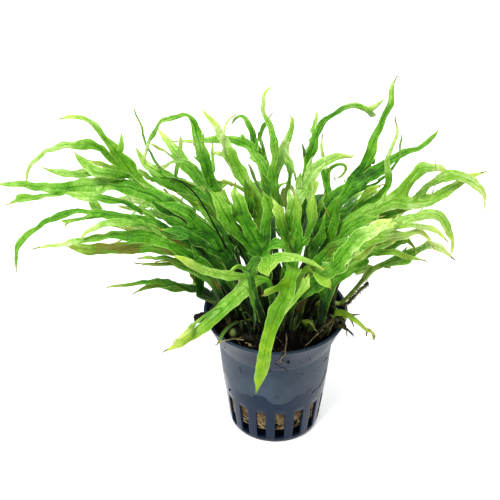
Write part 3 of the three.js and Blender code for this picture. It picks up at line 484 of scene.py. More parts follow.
def spun(profile, steps, start=0.0):
    """A bmesh of a profile of (radius, height) turned once round the pot's axis."""
    shape = bmesh.new()
    turn = Matrix.Rotation(start, 3, "Z")
    line = [shape.verts.new(turn @ Vector((r, 0, z)) * MM) for r, z in profile]
    for a, b in zip(line, line[1:]):
        shape.edges.new((a, b))
    bmesh.ops.spin(shape, geom=shape.verts[:] + shape.edges[:], cent=(0, 0, 0), axis=(0, 0, 1),
                   dvec=(0, 0, 0), angle=math.tau, steps=steps, use_merge=True)
    bmesh.ops.holes_fill(shape, edges=[e for e in shape.edges if e.is_boundary], sides=0)
    bmesh.ops.recalc_face_normals(shape, faces=shape.faces)
    return shape


def column_of(place, start):
    """Which of the steps round the pot a place lies in."""
    turn = (math.atan2(place.y, place.x) - start) % math.tau
    return int(turn / math.tau * POT_STEPS)


def pot_shape():
    start = FIRST_SLOT - math.pi / 2 - math.tau / POT_STEPS * SLOT_STEPS / 2
    shape = spun(OUTSIDE + INSIDE, POT_STEPS, start)
    low, high = (h * MM for h in SLOT_HEIGHTS)
    period = POT_STEPS // SLOTS
    holes = [f for f in shape.faces if low < f.calc_center_median().z < high
             and column_of(f.calc_center_median(), start) % period < SLOT_STEPS]
    bmesh.ops.delete(shape, geom=holes, context="FACES")
    rims = {}
    for edge in shape.edges:
        if edge.is_boundary:
            middle = (edge.verts[0].co + edge.verts[1].co) / 2
            number = round((column_of(middle, start + 1e-4) - SLOT_STEPS / 2) / period) % SLOTS
            rims.setdefault(number, []).append(edge)
    for edges in rims.values():
        bmesh.ops.bridge_loops(shape, edges=edges)
    corners = [e for e in shape.edges if e.calc_face_angle(0) > math.radians(60)
               and all(low - 1e-5 < v.co.z < high + 1e-5 for v in e.verts)]
    bmesh.ops.bevel(shape, geom=corners, offset=SLOT_BEVEL * MM, offset_type="OFFSET", segments=2,
                    profile=0.5, affect="EDGES", material=-1)
    print("slots:", len(rims), "edges bevelled:", len(corners), "faces:", len(shape.faces))
    return to_mesh(shape, "net_pot_wall")


# %% [markdown]
# ## The pot's finish
#
# The plastic is a dark blue-grey. It is dusty and dull near the rim, and a film of water darkens and
# glosses its lower part, with one dry oval left in the front. The reflection of the pale room lifts a dark
# gloss, so the colour itself is set darker than it looks. Painted shade darkens the collar and the foot,
# and a painted highlight lightens the lip and the ridge at the foot of the collar.

# %% Pot finish
FILM_TOP = 25.0
FILM_EDGE = 1.25
FILM_RAGGED = 16.0
OVAL_MIDDLE = (2.2, 27.5)
OVAL_SIZE = (6.0, 6.2)
COLLAR_PAINTED_SHADE = (39.4, 40.4)
RIDGE_LOW, RIDGE_HIGH = (38.8, 39.1), (39.9, 39.5)
LIP_HIGHLIGHT = (50.3, 50.7)
FOOT_PAINTED_SHADE = (4.0, 0.5)


def gray(value):
    return (value, value, value, 1)


def pot_finish():
    material, nodes, shader = new_material("net_pot_plastic", 0.33, 0.12)
    place = nodes.object_place()
    x, y, z = nodes.split(place)

    def rise(low, high):
        return nodes.span(z, low * MM, high * MM)

    ragged = nodes.noise(place, 140, 3.0)
    height = nodes.plus(z, nodes.times(nodes.math("SUBTRACT", ragged, 0.5), FILM_RAGGED * MM))
    film = nodes.span(height, FILM_TOP * MM, (FILM_TOP - FILM_EDGE) * MM)
    sides = [nodes.math("DIVIDE", nodes.math("SUBTRACT", axis, middle * MM), size * MM)
             for axis, middle, size in zip((x, z), OVAL_MIDDLE, OVAL_SIZE)]
    squares = [nodes.times(s, s) for s in sides]
    away = nodes.plus(nodes.plus(*squares), nodes.times(ragged, 0.5))
    oval = nodes.times(nodes.span(away, 1.4, 1.15), nodes.span(y, 0, -5 * MM))
    film = nodes.times(film, nodes.math("SUBTRACT", 1.0, oval))
    dust = nodes.mottle(70, 0.35, 0.7)
    colour = nodes.tint(nodes.shades(dust, (34, 47, 60), (50, 62, 74)), film, 1.0, (12, 30, 50))
    colour = nodes.tint(colour, nodes.mottle(210, 0.55, 0.7), 0.3, (24, 30, 40))
    # Painted shade: the flared collar is set darker, for the shaded floor that it reflects.
    colour = nodes.tint(colour, rise(*COLLAR_PAINTED_SHADE), 0.9, (6, 24, 44))
    # Painted highlight: the lip and the ridge at the foot of the collar are set lighter, as if lit.
    ridge_highlight = nodes.times(rise(*RIDGE_LOW), rise(*RIDGE_HIGH))
    colour = nodes.tint(colour, nodes.math("ADD", rise(*LIP_HIGHLIGHT), ridge_highlight, True), 0.35, (58, 70, 80))
    # Painted shade: the foot darkens where it stands on the floor.
    colour = nodes.tint(colour, rise(*FOOT_PAINTED_SHADE), 0.7, (4, 8, 26))
    coat(nodes, shader, colour, scale=520, depth=0.00004)
    rough_all = nodes.mix(film, nodes.mix(dust, gray(0.33), gray(0.46)), gray(0.19))
    nodes.set(shader["Roughness"], nodes.split(rough_all)[0])
    shader["Sheen Weight"].default_value = 0.1
    shader["Sheen Roughness"].default_value = 0.12
    return material


put("net_pot_shell", pot_shape(), pot_finish(), ["net_pot"], sharp=38)
print("top of the film of water in mm:", FILM_TOP)

# %% [markdown]
# ## Dirt on the pot
#
# Crumbs of soil and short dark fibres stick to the wet wall. The larger ones lie where they were
# seen, and small specks are strewn round the whole wall. A place on the wall is given by its
# angle from the front and its height, and the profile says how far out that is.

# %% Dirt on the pot
CRUMBS = [(13.2, 44.6, 1.5), (-4.8, 39.1, 0.7), (29.4, 35.0, 0.6), (-59.4, 19.7, 0.9),
          (33, 43.2, 0.5)]
FIBRES = [
    [(71, 33.7), (66, 34.6), (60, 34.8)],
    [(72, 27.2), (64, 24.2), (57, 22.4), (50, 22.9), (45, 22.3)],
    [(0, 44.5), (2.5, 43.2), (4.6, 41.8), (9, 40.6), (13, 38.3)],
    [(-38, 36.5), (-36, 34.9), (-37, 33.6)],
]
SPECKS = 90


def on_wall(angle, height, lift=0.0):
    """A place on the outside of the pot: angle in degrees from the front, to the right."""
    radius = float(np.interp(height, [z for _, z in OUTSIDE], [r for r, _ in OUTSIDE])) + lift
    turn = math.radians(angle)
    return Vector((radius * math.sin(turn), -radius * math.cos(turn), height))


def crumb(pick, angle, height, size):
    """A crumb is a short bent strand, as thick as it is long."""
    ends = [(angle + pick.uniform(-1, 1) * size * 1.6, height + pick.uniform(-0.4, 0.4) * size)
            for _ in range(3)]
    return [(on_wall(a, z, 0.1), size * share) for (a, z), share in zip(ends, (0.3, 0.42, 0.24))]


pick = random.Random(8)
dirt = [crumb(pick, *c) for c in CRUMBS]
dirt += [crumb(pick, pick.uniform(-180, 180), pick.uniform(17, 48), pick.uniform(0.12, 0.34))
         for _ in range(SPECKS)]
dirt += [[(on_wall(a, z, 0.08), 0.09) for a, z in fibre] for fibre in FIBRES]
print("crumbs, specks and fibres on the wall:", len(dirt))

# %% [markdown]
# ## The wool
#
# Growing wool is a felt of tan fibres. It shows through the slots, with roots in it, and from above it is
# black with dirt and old roots, and darker still with painted shade. The solid is subdivided and
# roughened, and loose fibres and roots lie on its side, in the thin gap before the wall.

# %% Wool
WOOL_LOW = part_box("wool_plug")[0][2] / MM
WOOL_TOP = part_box("wool_plug")[1][2] / MM
SLOT_ZONE = 32.0
FIBRE_STAND_OFF = 0.15


def wool_radius(height):
    """The radius of the wool's side at a height in the slots."""
    return 16.25 + (height - 4) * 0.124


def wool_finish():
    material, nodes, shader = new_material("growing_wool", 0.95, 0.1)
    z = nodes.split(nodes.object_place())[2]
    tufts = nodes.mottle(420, 0.35, 0.68, 5.0)
    colour = nodes.shades(tufts, (84, 68, 48), (144, 124, 92))
    colour = nodes.tint(colour, nodes.mottle(130, 0.5, 0.62), 0.6, (70, 48, 34))
    # Above the slots the wool turns nearly black: partly dirt, partly painted shade for the mouth of the
    # pot.
    dirt_and_shade = nodes.shades(nodes.mottle(600, 0.5, 0.7), (8, 6, 5), (34, 26, 18))
    colour = nodes.mix(nodes.span(z, 0.034, 0.040), colour, dirt_and_shade)
    coat(nodes, shader, colour, scale=1500, stretch=1.5, depth=0.0005)
    return material


felt = fine_solid("wool_plug", 4)
bumpy(felt, [(3.5, 0.35), (1.2, 0.3)], 40)
spots = places(felt)
around = np.hypot(spots[:, 0], spots[:, 1])
allowed = wool_radius(spots[:, 2]) + FIBRE_STAND_OFF
squeeze = np.where(spots[:, 2] < SLOT_ZONE, np.minimum(1, allowed / np.maximum(around, 1e-6)), 1)
spots[:, :2] *= squeeze[:, None]
move_to(felt, spots)
put("wool_felt", felt, wool_finish(), ["wool_plug"])
print("wool faces:", len(felt.polygons))

# %% [markdown]
# ## Roots and fibres in the slots
#
# A strand is a curve with a round bevel, turned into mesh. Each walks round the wool's side by
# small random turns. The seeds are fixed, so every run gives the same walk.

# %% Strand finishes


def tissue(name, light, dark, patches=(300, 0.35, 0.65), spots=None, roughness=0.8, specular=0.1,
           scale=1600, stretch=1, depth=0.0001):
    """A dull finish of two shades in patches. spots: the share, the shade and the mottle of a
    third shade."""
    material, nodes, shader = new_material(name, roughness, specular)
    colour = nodes.shades(nodes.mottle(*patches), dark, light)
    if spots:
        share, shade, *lumps = spots
        colour = nodes.tint(colour, nodes.mottle(*lumps), share, shade)
    coat(nodes, shader, colour, scale=scale, stretch=stretch, depth=depth)
    return material


tan_fibre = tissue("tan_fibre", (164, 144, 108), (106, 86, 58))
dark_root = tissue("dark_root", (22, 15, 10), (7, 5, 4))
dry_root = tissue("dry_root", (140, 132, 92), (84, 74, 44))
brown_tissue = tissue("withered_tissue", (112, 88, 46), (52, 36, 20))
withered = tissue("withered_tip", (150, 158, 66), (84, 78, 34))
dead_brown = tissue("dead_leaf", (72, 68, 36), (26, 24, 13))
scrap_green = tissue("green_scrap", (44, 78, 22), (20, 38, 10), roughness=0.5)
print("materials with those of the strands and scraps:", len(bpy.data.materials))

# %% Strands on the wool
SLOT_FIBRES = 700
SLOT_ROOTS = 46


def side_walk(pick, radius):
    """A strand that wanders round the side of the wool, between the slots' lower and upper ends."""
    angle = pick.uniform(0, math.tau)
    height = pick.uniform(WOOL_LOW + 0.5, 17.5)
    heading = pick.uniform(0, math.tau)
    path = []
    for i in range(pick.randint(6, 12)):
        ring = wool_radius(height) + pick.uniform(0.0, 0.22)
        path.append(((ring * math.cos(angle), ring * math.sin(angle), height),
                     radius * (1 - 0.05 * i)))
        heading += pick.uniform(-0.7, 0.7)
        angle += 1.1 * math.cos(heading) / ring
        height = min(max(height + 1.1 * math.sin(heading), WOOL_LOW + 0.3), 18)
    return path


pick = random.Random(3)
slot_fibres = [side_walk(pick, pick.uniform(0.05, 0.1)) for _ in range(SLOT_FIBRES)]
slot_roots = [side_walk(pick, pick.uniform(0.1, 0.22)) for _ in range(SLOT_ROOTS)]
put_strands("slot_fibres", slot_fibres, tan_fibre)
put_strands("slot_roots", slot_roots, brown_tissue)
put_strands("wall_dirt", dirt, dark_root, sides=1)
print("strands in the slots:", len(slot_fibres) + len(slot_roots))

# %% [markdown]
# ## The creeping stems
#
# Five stems lie side by side on the wool. They are knobbly, scaly and nearly black, and they carry
# old stalk stubs and a tangle of dark roots. One short side branch at the front left was cut, and
# shows a round pale end.

# %% Creeping stems
STEM_NAMES = [f"rhizome_{i}" for i in range(1, 6)]
STEM_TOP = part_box("rhizome_3")[1][2] / MM


def stem_finish():
    material, nodes, shader = new_material("creeping_stem", 0.7, 0.25)
    colour = nodes.shades(nodes.mottle(260, 0.35, 0.65), (12, 13, 6), (36, 36, 16))
    colour = nodes.tint(colour, nodes.mottle(700, 0.58, 0.66), 0.7, (58, 42, 22))
    cut = nodes.attribute("cut")
    colour = nodes.tint(colour, nodes.span(cut, 0.2, 0.7), 0.9, (58, 76, 24))
    colour = nodes.tint(colour, nodes.span(cut, 0.82, 0.95), 0.75, (98, 112, 48))
    coat(nodes, shader, colour, scale=900, depth=0.0003)
    return material


stem = stem_finish()
for number, name in enumerate(STEM_NAMES):
    body = fine_solid(name, 3)
    bumpy(body, [(3.2, 0.55), (1.3, 0.35), (0.7, 0.12)], 60 + number)
    write_value(body, "cut", 0.0)
    put(f"creeping_stem_{number + 1}", body, stem, [name])
print("creeping stems:", len(STEM_NAMES), "top of the middle one in mm:", round(STEM_TOP, 1))

# %% Cut end
CUT_FROM = Vector((-12.4, -13.0, 49.6))
CUT_TO = Vector((-15.2, -16.4, 52.3))
CUT_RADIUS = 1.75


def cut_branch():
    """A short round branch with a flat end that is dished a little in its middle."""
    shape = bmesh.new()
    aim = (CUT_TO - CUT_FROM).to_track_quat("Z", "Y").to_matrix().to_4x4()
    base = Matrix.Translation(CUT_FROM * MM) @ aim
    bmesh.ops.create_circle(shape, cap_ends=True, segments=20, radius=CUT_RADIUS * MM, matrix=base)
    bmesh.ops.recalc_face_normals(shape, faces=shape.faces)
    cut = shape.verts.layers.float.new("cut")
    face = shape.faces[:][0]
    if face.normal.dot(CUT_TO - CUT_FROM) < 0:
        bmesh.ops.reverse_faces(shape, faces=[face])
    for share, scale in ((0.5, 1.06), (0.92, 0.97), (1.0, 0.9)):
        grown = bmesh.ops.extrude_discrete_faces(shape, faces=[face])
        face = grown["faces"][0]
        middle = face.calc_center_median()
        goal = (CUT_FROM * MM).lerp(CUT_TO * MM, share)
        bmesh.ops.translate(shape, verts=face.verts[:], vec=goal - middle)
        bmesh.ops.scale(shape, verts=face.verts[:], vec=(scale,) * 3, space=Matrix.Translation(-goal))
    for inset, mark in ((0.25, 0.6), (0.45, 1.0)):
        bmesh.ops.inset_individual(shape, faces=[face], thickness=inset * MM, depth=-0.05 * MM)
        for v in face.verts:
            v[cut] = mark
    print("cut branch, mm long:", round((CUT_TO - CUT_FROM).length, 1))
    return to_mesh(shape, "cut_branch")


put("cut_side_branch", subdivided(cut_branch(), 2), stem)

# %% [markdown]
# ## The tangle in the mouth of the pot
#
# Between the stems the mouth of the pot is filled with dark fine roots, old stalks and specks of
# moss. Roots wander over the wool and the stems, and the stubs of old stalks stand between the
# fronds.

# %% Tangle
MOUTH = 22.5
MOUTH_ROOTS = 1000
PALE_ROOTS = 70
OLD_STALKS = 150
PITCH = 6.8
STEM_RADIUS = 1.9


def ground(x, y):
    """The height of the wool or of a stem at a place in the pot's mouth."""
    aside = abs(((y + PITCH / 2) % PITCH) - PITCH / 2)
    bare = WOOL_TOP - 2.4 * ease(12, 20, math.hypot(x, y))
    if abs(y) > 15.6 or abs(x) > 18 or aside > STEM_RADIUS:
        return bare
    return max(bare, STEM_TOP - STEM_RADIUS + math.sqrt(STEM_RADIUS**2 - aside**2))


def mouth_walk(pick, radius):
    """A root that wanders over the ground of the pot's mouth, and clears it in a low hop."""
    ring = MOUTH * math.sqrt(pick.random())
    angle = pick.uniform(0, math.tau)
    x, y = ring * math.cos(angle), ring * math.sin(angle)
    heading = pick.uniform(0, math.tau)
    hop = pick.uniform(0.3, 3.2)
    count = pick.randint(6, 13)
    height = ground(x, y)
    path = []
    for i in range(count):
        height = max(ground(x, y), height - pick.uniform(0.2, 0.9))
        lift = radius + hop * math.sin(math.pi * i / (count - 1)) + pick.uniform(-0.15, 0.15)
        path.append(((x, y, height + lift), radius * (1 - 0.6 * i / count)))
        heading += pick.uniform(-0.7, 0.7)
        x, y = x + 1.1 * math.cos(heading), y + 1.1 * math.sin(heading)
        reach = math.hypot(x, y)
        if reach > MOUTH:
            x, y = x * MOUTH / reach, y * MOUTH / reach
    return path


def old_stalk(pick):
    """The dead lower end of a stalk, which leans out from the middle of the pot."""
    x = pick.uniform(-17, 17)
    y = pick.choice((-2, -1, 0, 1, 2)) * PITCH + pick.uniform(-1, 1)
    slope = (x * 0.025 + pick.uniform(-0.3, 0.3), y * 0.02 + pick.uniform(-0.25, 0.25), 1)
    lean = Vector(slope).normalized()
    length = pick.uniform(3, 15) * (0.5 if abs(x) > 12 else 1)
    radius = pick.uniform(0.45, 0.95)
    start = Vector((x, y, STEM_TOP - 1.2))
    bend = Vector((pick.uniform(-1, 1), pick.uniform(-1, 1), 0)) * length * 0.1
    steps = (0, 0.25, 0.5, 0.75, 0.93, 1)
    return [(start + lean * length * t + bend * t * t, radius * (1 - 0.45 * t)) for t in steps]


pick = random.Random(11)
mouth_roots = [mouth_walk(pick, pick.uniform(0.1, 0.34)) for _ in range(MOUTH_ROOTS)]
pale_roots = [mouth_walk(pick, pick.uniform(0.07, 0.17)) for _ in range(PALE_ROOTS)]
put_strands("mouth_roots", mouth_roots, dark_root)
put_strands("pale_roots", pale_roots, dry_root)
print("roots in the mouth of the pot:", len(mouth_roots) + len(pale_roots))

# %% Scraps
SCRAP_THICKNESS = 0.14


def put_scraps(name, pieces, seed, material):
    """Makes crumpled flakes a piece. Each has a place, a length and a width, in millimetres."""
    shape = bmesh.new()
    turn = random.Random(seed)
    for place, length, width in pieces:
        yaw = Matrix.Rotation(turn.uniform(0, math.tau), 4, "Z")
        lie = yaw @ Matrix.Rotation(turn.uniform(-0.9, 0.9), 4, "X")
        size = Matrix.Diagonal((length / 2, width / 2, 1, 1))
        made = bmesh.ops.create_grid(shape, x_segments=6, y_segments=3, size=MM,
                                     matrix=Matrix.Translation(Vector(place) * MM) @ lie @ size)
        for v in made["verts"]:
            v.co += noise.noise_vector(v.co / (1.7 * MM)) * 0.55 * MM
    put(name, thickened(to_mesh(shape, name), SCRAP_THICKNESS), material)


def strewn(pick, count, sizes):
    """Places for scraps all over the mouth of the pot."""
    pieces = []
    for _ in range(count):
        ring, angle = (MOUTH - 1) * math.sqrt(pick.random()), pick.uniform(0, math.tau)
        x, y = ring * math.cos(angle), ring * math.sin(angle)
        length = pick.uniform(*sizes)
        place = (x, y, ground(x, y) + pick.uniform(0.3, 1.4))
        pieces.append((place, length, length * pick.uniform(0.3, 0.7)))
    return pieces


SEEN_SCRAPS = [((10.0, -12.3, 49.6), 3.2, 1.5), ((6.4, -3.5, 53.0), 1.8, 1.3),
               ((-9, -17.2, 47.5), 1.6, 1.2), ((-10.4, -16.4, 47.6), 1.3, 1.0),
               ((-7.4, -17.6, 47.2), 1.5, 1.0), ((12.2, -13.4, 49.8), 1.6, 0.9)]
STREWN = [("brown_scraps", 120, (0.8, 2.8), dead_brown, "dead_tissue"),
          ("black_scraps", 110, (1.2, 4.2), dark_root, "dead_tissue"),
          ("green_scraps", 34, (0.8, 2.6), scrap_green, "leaf")]
pick = random.Random(17)
put_scraps("tan_scraps", SEEN_SCRAPS, 7, dry_root)
for seed, (name, count, sizes, finish, slot) in enumerate(STREWN, start=1):
    put_scraps(name, strewn(pick, count, sizes), seed, finish)
print("scraps:", len(SEEN_SCRAPS) + sum(row[1] for row in STREWN))

# %% Old stalks
pick = random.Random(21)
stalk_finish = tissue("old_stalk", (44, 60, 12), (16, 22, 6), (120, 0.4, 0.6),
                      (0.7, (26, 18, 9), 420, 0.5, 0.65), roughness=0.6, specular=0.25,
                      scale=1100, stretch=3.0, depth=0.0002)
old_stalks = [old_stalk(pick) for _ in range(OLD_STALKS)]
put_strands("old_stalks", old_stalks, stalk_finish, sides=1)
print("old stalks:", len(old_stalks))

# %% [markdown]
# ## Reading a frond's solid
#
# The solid of a frond is a strip with four points to a section: its two margins, and its midrib
# above and below. A margin is a sharp edge, so the angle between two faces tells margin from
# midrib. From that, each point gets what the finish needs: how far it lies across the blade,
# how far it is from the root and from the nearest tip, and which way the blade faces there.

# %% Reading a frond's solid
MARGIN_ANGLE = math.radians(90)
CAP_ANGLE = math.radians(50)
FLAT_ANGLE = math.radians(1)
CAP_HEIGHTS = (49.4 * MM, 53.2 * MM)
ROUND_HALF_WIDTH = 1.05
FLAT_HALF_WIDTH = 1.7
SHORTEST = 5.0
TIP_HALF_WIDTH = 0.4
SEEN_FROM = Vector((0, -0.55, 0.83))


def is_margin(edge):
    return len(edge.link_faces) == 2 and edge.calc_face_angle() > MARGIN_ANGLE


def is_cap(face):
    """The small face at the root: it stands at a steep angle to every face around it."""
    heights = [v.co.z for v in face.verts]
    if min(heights) < CAP_HEIGHTS[0] or max(heights) > CAP_HEIGHTS[1]:
        return False
    around = [e.calc_face_angle() for e in face.edges]
    steep = [a > CAP_ANGLE for a in around]
    return all(s or a < FLAT_ANGLE for s, a in zip(steep, around)) and sum(steep) >= 2


def sheet_signs(shape, caps):
    """1 for the faces of the upper sheet of the blade, and -1 for those of the lower sheet."""
    signs = {}
    for seed in shape.faces:
        if seed in signs or seed in caps:
            continue
        signs[seed] = 1
        front = [seed]
        while front:
            face = front.pop()
            for edge in face.edges:
                for other in edge.link_faces:
                    if other not in signs and other not in caps:
                        signs[other] = -signs[face] if is_margin(edge) else signs[face]
                        front.append(other)
    up = sum((f.normal * s * f.calc_area() for f, s in signs.items()), Vector())
    turn = 1 if up.dot(SEEN_FROM) > 0 else -1
    return {face: sign * turn for face, sign in signs.items()}


frond_solids = [o.data for n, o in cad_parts.items() if n.startswith("frond_")]
print("fronds:", len(frond_solids), "triangles in them:", sum(len(m.polygons) for m in frond_solids))


# %% Distances along the blade
def distances(shape, starts):
    """The shortest way along the edges from the start points to every point, in millimetres."""
    found = {v: 0.0 for v in starts}
    front = list(starts)
    while front:
        later = []
        for v in front:
            for edge in v.link_edges:
                other = edge.other_vert(v)
                reach = found[v] + edge.calc_length() / MM
                if reach < found.get(other, 1e9) - 1e-6:
                    found[other] = reach
                    later.append(other)
        front = later
    return found


# %% [markdown]
# ## Narrow ends and ripe patches
#
# No two fingers of a frond are alike: some draw in to a thread, and some stay broad to the end.
# WIDTHS gives, for each finger of a frond from left to right, the share of its solid's width at
# distances from its tip. PULLS moves a finger a little aside in the same way, where the real one
# lies off its solid, and RIPE says how yellow a finger has turned. The last finger's values stand
# for all the fingers after it.

# %% Narrow ends and ripe patches
WIDTHS = {
    "frond_left_droop": [[(8, 1.1), (14, 0.42), (44, 0.42), (54, 1)]],
    "frond_left_arch": [[(18, 0.6), (32, 1)]],
    "frond_left_reach": [[(16, 0.8), (30, 1)]],
    "frond_left_fork": [[(22, 0.75), (36, 1)]],
    "frond_top_1": [[(4, 0.5), (34, 0.32), (50, 1)]],
    "frond_top_5": [[(22, 0.7), (36, 1)]],
    "frond_top_6": [[(22, 0.75), (36, 1)]],
    "frond_top_7": [[(6, 0.7), (14, 0.34), (42, 0.34), (56, 1)]],
    "frond_right_crown": [[(16, 0.42), (25, 0.85), (38, 0.9), (44, 1)]],
    "frond_right_reach": [[(22, 0.7), (36, 1)]],
    "frond_right_droop": [[(22, 0.8), (36, 1)]],
    "frond_right_upper": [[(4, 1.3), (12, 1.2), (20, 0.8), (30, 1)]],
    "frond_right_low": [[(0, 1.5), (26, 1.4)]],
    "frond_front_low": [[(9, 1.4), (18, 1)]],
    "frond_front_arch": [[(0, 0.25), (5, 0.55), (11, 0.8), (18, 1)], [(0, 1)]],
    "frond_front_left": [[(4, 1.1), (12, 0.9), (24, 0.8)], [(30, 0.8), (40, 1)],
                         [(0, 0.8), (6, 0.6), (11, 0.4), (15, 0.3), (20, 0.75), (24, 0.86)]],
    "frond_front_hand": [[(0, 3.4), (3, 2.4), (8, 1.4), (16, 0.9), (60, 0.76), (76, 1)],
                         [(0, 0.2), (5, 0.5), (14, 0.62), (26, 1)],
                         [(20, 0.85), (30, 1)]],
}
PULLS = {
    "frond_front_hand": {
        0: [(0, (-2.0, 0, -0.9)), (7, (-0.4, 0, -0.4)), (13, (0.4, 0, 0)), (22, (0.9, 0, 0)),
            (34, (1.4, 0, 0)), (45, (1.0, 0, 0)), (56, (0, 0, 0))]},
    "frond_front_left": {
        0: [(0, (0, 0, 0)), (3, (0, 0, -0.6)), (10, (0, 0, -1.6)), (24, (0, 0, -1.9))],
        2: [(6, (0, 0, 0)), (11, (0, 0.6, -3.4)), (14.4, (0, 1.0, -4.8)), (20, (0, 0, -2.6)),
            (27, (0, 0, -2.0)), (36, (0, 0, 0))]},
}
RIPE = {
    "frond_front_left": [1.0, 0.5, 0.0], "frond_front_hand": [1.0, 0.5, 0.3, 0.6],
    "frond_left_arch": [0.3], "frond_top_4": [0.3], "frond_right_reach": [0.4],
    "frond_right_droop": [0.5], "frond_right_low": [0.5],
}


def of_branch(values, branch):
    """The value for a branch: the last one stands for all the branches after it."""
    return values[min(branch, len(values) - 1)]


def along_branch(steps, reach):
    """The value at a distance from the tip, between the steps (distance, value) of a branch."""
    return float(np.interp(reach, [s for s, _ in steps], [value for _, value in steps]))


def drawn_in(node, branch, reach):
    """The share of its half width that a finger loses at a distance from its tip."""
    return 1 - along_branch(of_branch(WIDTHS.get(node, [[(0, 1)]]), branch), reach)


def pulled(node, branch, reach):
    """How far a finger is moved aside at a distance from its tip, in metres."""
    steps = PULLS.get(node, {}).get(branch, [(0, (0, 0, 0))])
    return Vector([along_branch([(s, pull[i]) for s, pull in steps], reach) for i in range(3)]) * MM


print("fronds with narrowed fingers:", len(WIDTHS), "with moved ones:", len(PULLS), "ripe:", len(RIPE))


# %% [markdown]
# ## The cage of a frond
#
# Subdivision likes quads, so the triangles of the solid are joined in pairs, while the edges along
# the margins and the midrib are kept. Then every point of this cage gets its measures as
# attributes, and Subdivision Surface spreads them over the fine mesh all by itself.

# %% The cage of a frond
MEASURES = ("across", "half_width", "root_mm", "tip_mm", "side_mm", "narrow", "ripe")


def join_quads(shape):
    """Joins the triangles in pairs, and keeps the edges along the margins and the midrib."""
    on_margin = {v for e in shape.edges if is_margin(e) for v in e.verts}
    for edge in shape.edges:
        edge.smooth = (edge.verts[0] in on_margin) != (edge.verts[1] in on_margin)
    bmesh.ops.join_triangles(
        shape, faces=shape.faces, cmp_sharp=True,
        angle_face_threshold=math.radians(40), angle_shape_threshold=math.radians(60))


def is_tip(v, from_root):
    """A tip is a point of the margin, far from the root, where only triangles meet."""
    return (len(v.link_edges) == 4 and from_root[v] > SHORTEST
            and all(len(f.verts) == 3 for f in v.link_faces))


# %% Measures at the points
def measure_side(v, layer, on_margin, from_root):
    """Stores how wide the blade is at a point of its margin. Returns that and the points of the
    midrib beside it."""
    along = [e.other_vert(v) for e in v.link_edges if e.other_vert(v) in on_margin]
    near = [e.other_vert(v) for e in v.link_edges if e.other_vert(v) not in on_margin]
    if not near:
        return 0.0, []
    away = v.co - sum((w.co for w in near), Vector()) / len(near)
    v[layer["outward"]] = away.normalized()
    v[layer["half_width"]] = away.length / MM
    rise = sum(((w.co - v.co) * math.copysign(1, from_root[w] - from_root[v]) for w in along), Vector())
    turn = rise.cross(v[layer["facing"]]).dot(v[layer["outward"]])
    v[layer["side_mm"]] = math.copysign(v[layer["half_width"]], turn)
    return v[layer["half_width"]], near


def frond_cage(node):
    """The frond's solid as a cage of quads, with the measures of the blade at its points."""
    shape = copied(node)
    layers = shape.verts.layers
    layer = {name: layers.float.new(name) for name in MEASURES}
    layer.update((name, layers.float_vector.new(name)) for name in ("facing", "outward"))
    # Subdivision Surface reads these two attributes as how sharp a point or an edge stays.
    corner = layers.float.new("crease_vert")
    crease = shape.edges.layers.float.new("crease_edge")
    join_quads(shape)
    caps = {f for f in shape.faces if is_cap(f)}
    root = {v for f in caps for v in f.verts}
    on_margin = {v for e in shape.edges if is_margin(e) and not
                 any(f in caps for f in e.link_faces) for v in e.verts}
    signs = sheet_signs(shape, caps)
    from_root = distances(shape, root or [min(shape.verts, key=lambda v: v.co.z)])
    tips = sorted((v for v in on_margin if is_tip(v, from_root)), key=lambda v: v.co.x)
    from_tips = [distances(shape, [tip]) for tip in tips]
    nearest = {}
    ribs = {}
    for v in shape.verts:
        reaches = [found[v] for found in from_tips]
        reach = min(reaches)
        branch = reaches.index(reach)
        nearest[v] = (reach, branch)
        v[layer["across"]] = 1.0 if v in on_margin else 0.0
        v[layer["root_mm"]] = from_root[v]
        v[layer["tip_mm"]] = reach
        v[layer["narrow"]] = drawn_in(node, branch, reach)
        v[layer["ripe"]] = of_branch(RIPE.get(node, [0.0]), branch)
        total = sum((f.normal * signs[f] for f in v.link_faces if f in signs), Vector())
        v[layer["facing"]] = total.normalized()
        if v in on_margin and v not in tips:
            width, near = measure_side(v, layer, on_margin, from_root)
            for w in near:
                ribs.setdefault(w, []).append(width)
    for v, (reach, branch) in nearest.items():
        v.co += pulled(node, branch, reach)
    for v, widths in ribs.items():
        v[layer["half_width"]] = sum(widths) / len(widths)
    for edge in shape.edges:
        if all(v in on_margin for v in edge.verts):
            width = max(v[layer["half_width"]] for v in edge.verts)
            edge[crease] = float(ease(ROUND_HALF_WIDTH, FLAT_HALF_WIDTH, width))
    for v in tips:
        v[corner] = 1.0
        v[layer["half_width"]] = TIP_HALF_WIDTH
    ends = [np.array(v.co) / MM for v in tips]
    return to_mesh(shape, node), ends


# %% [markdown]
# ## The blade
#
# Subdivision turns the cage into a smooth strip whose margins stay sharp. The real blade isn't
# flat or even: it grows in uneven bends, its margins wave and lobe, its surface is puckered
# between the veins, and its midrib lies in a shallow groove. All of that is real shape here,
# made by moving the points of the fine mesh. The bends come from one field of noise that every
# frond shares, so that neighbours bend together and don't run into each other. The fronds at the
# front take only a quarter of them, because there each blade's own line shows.

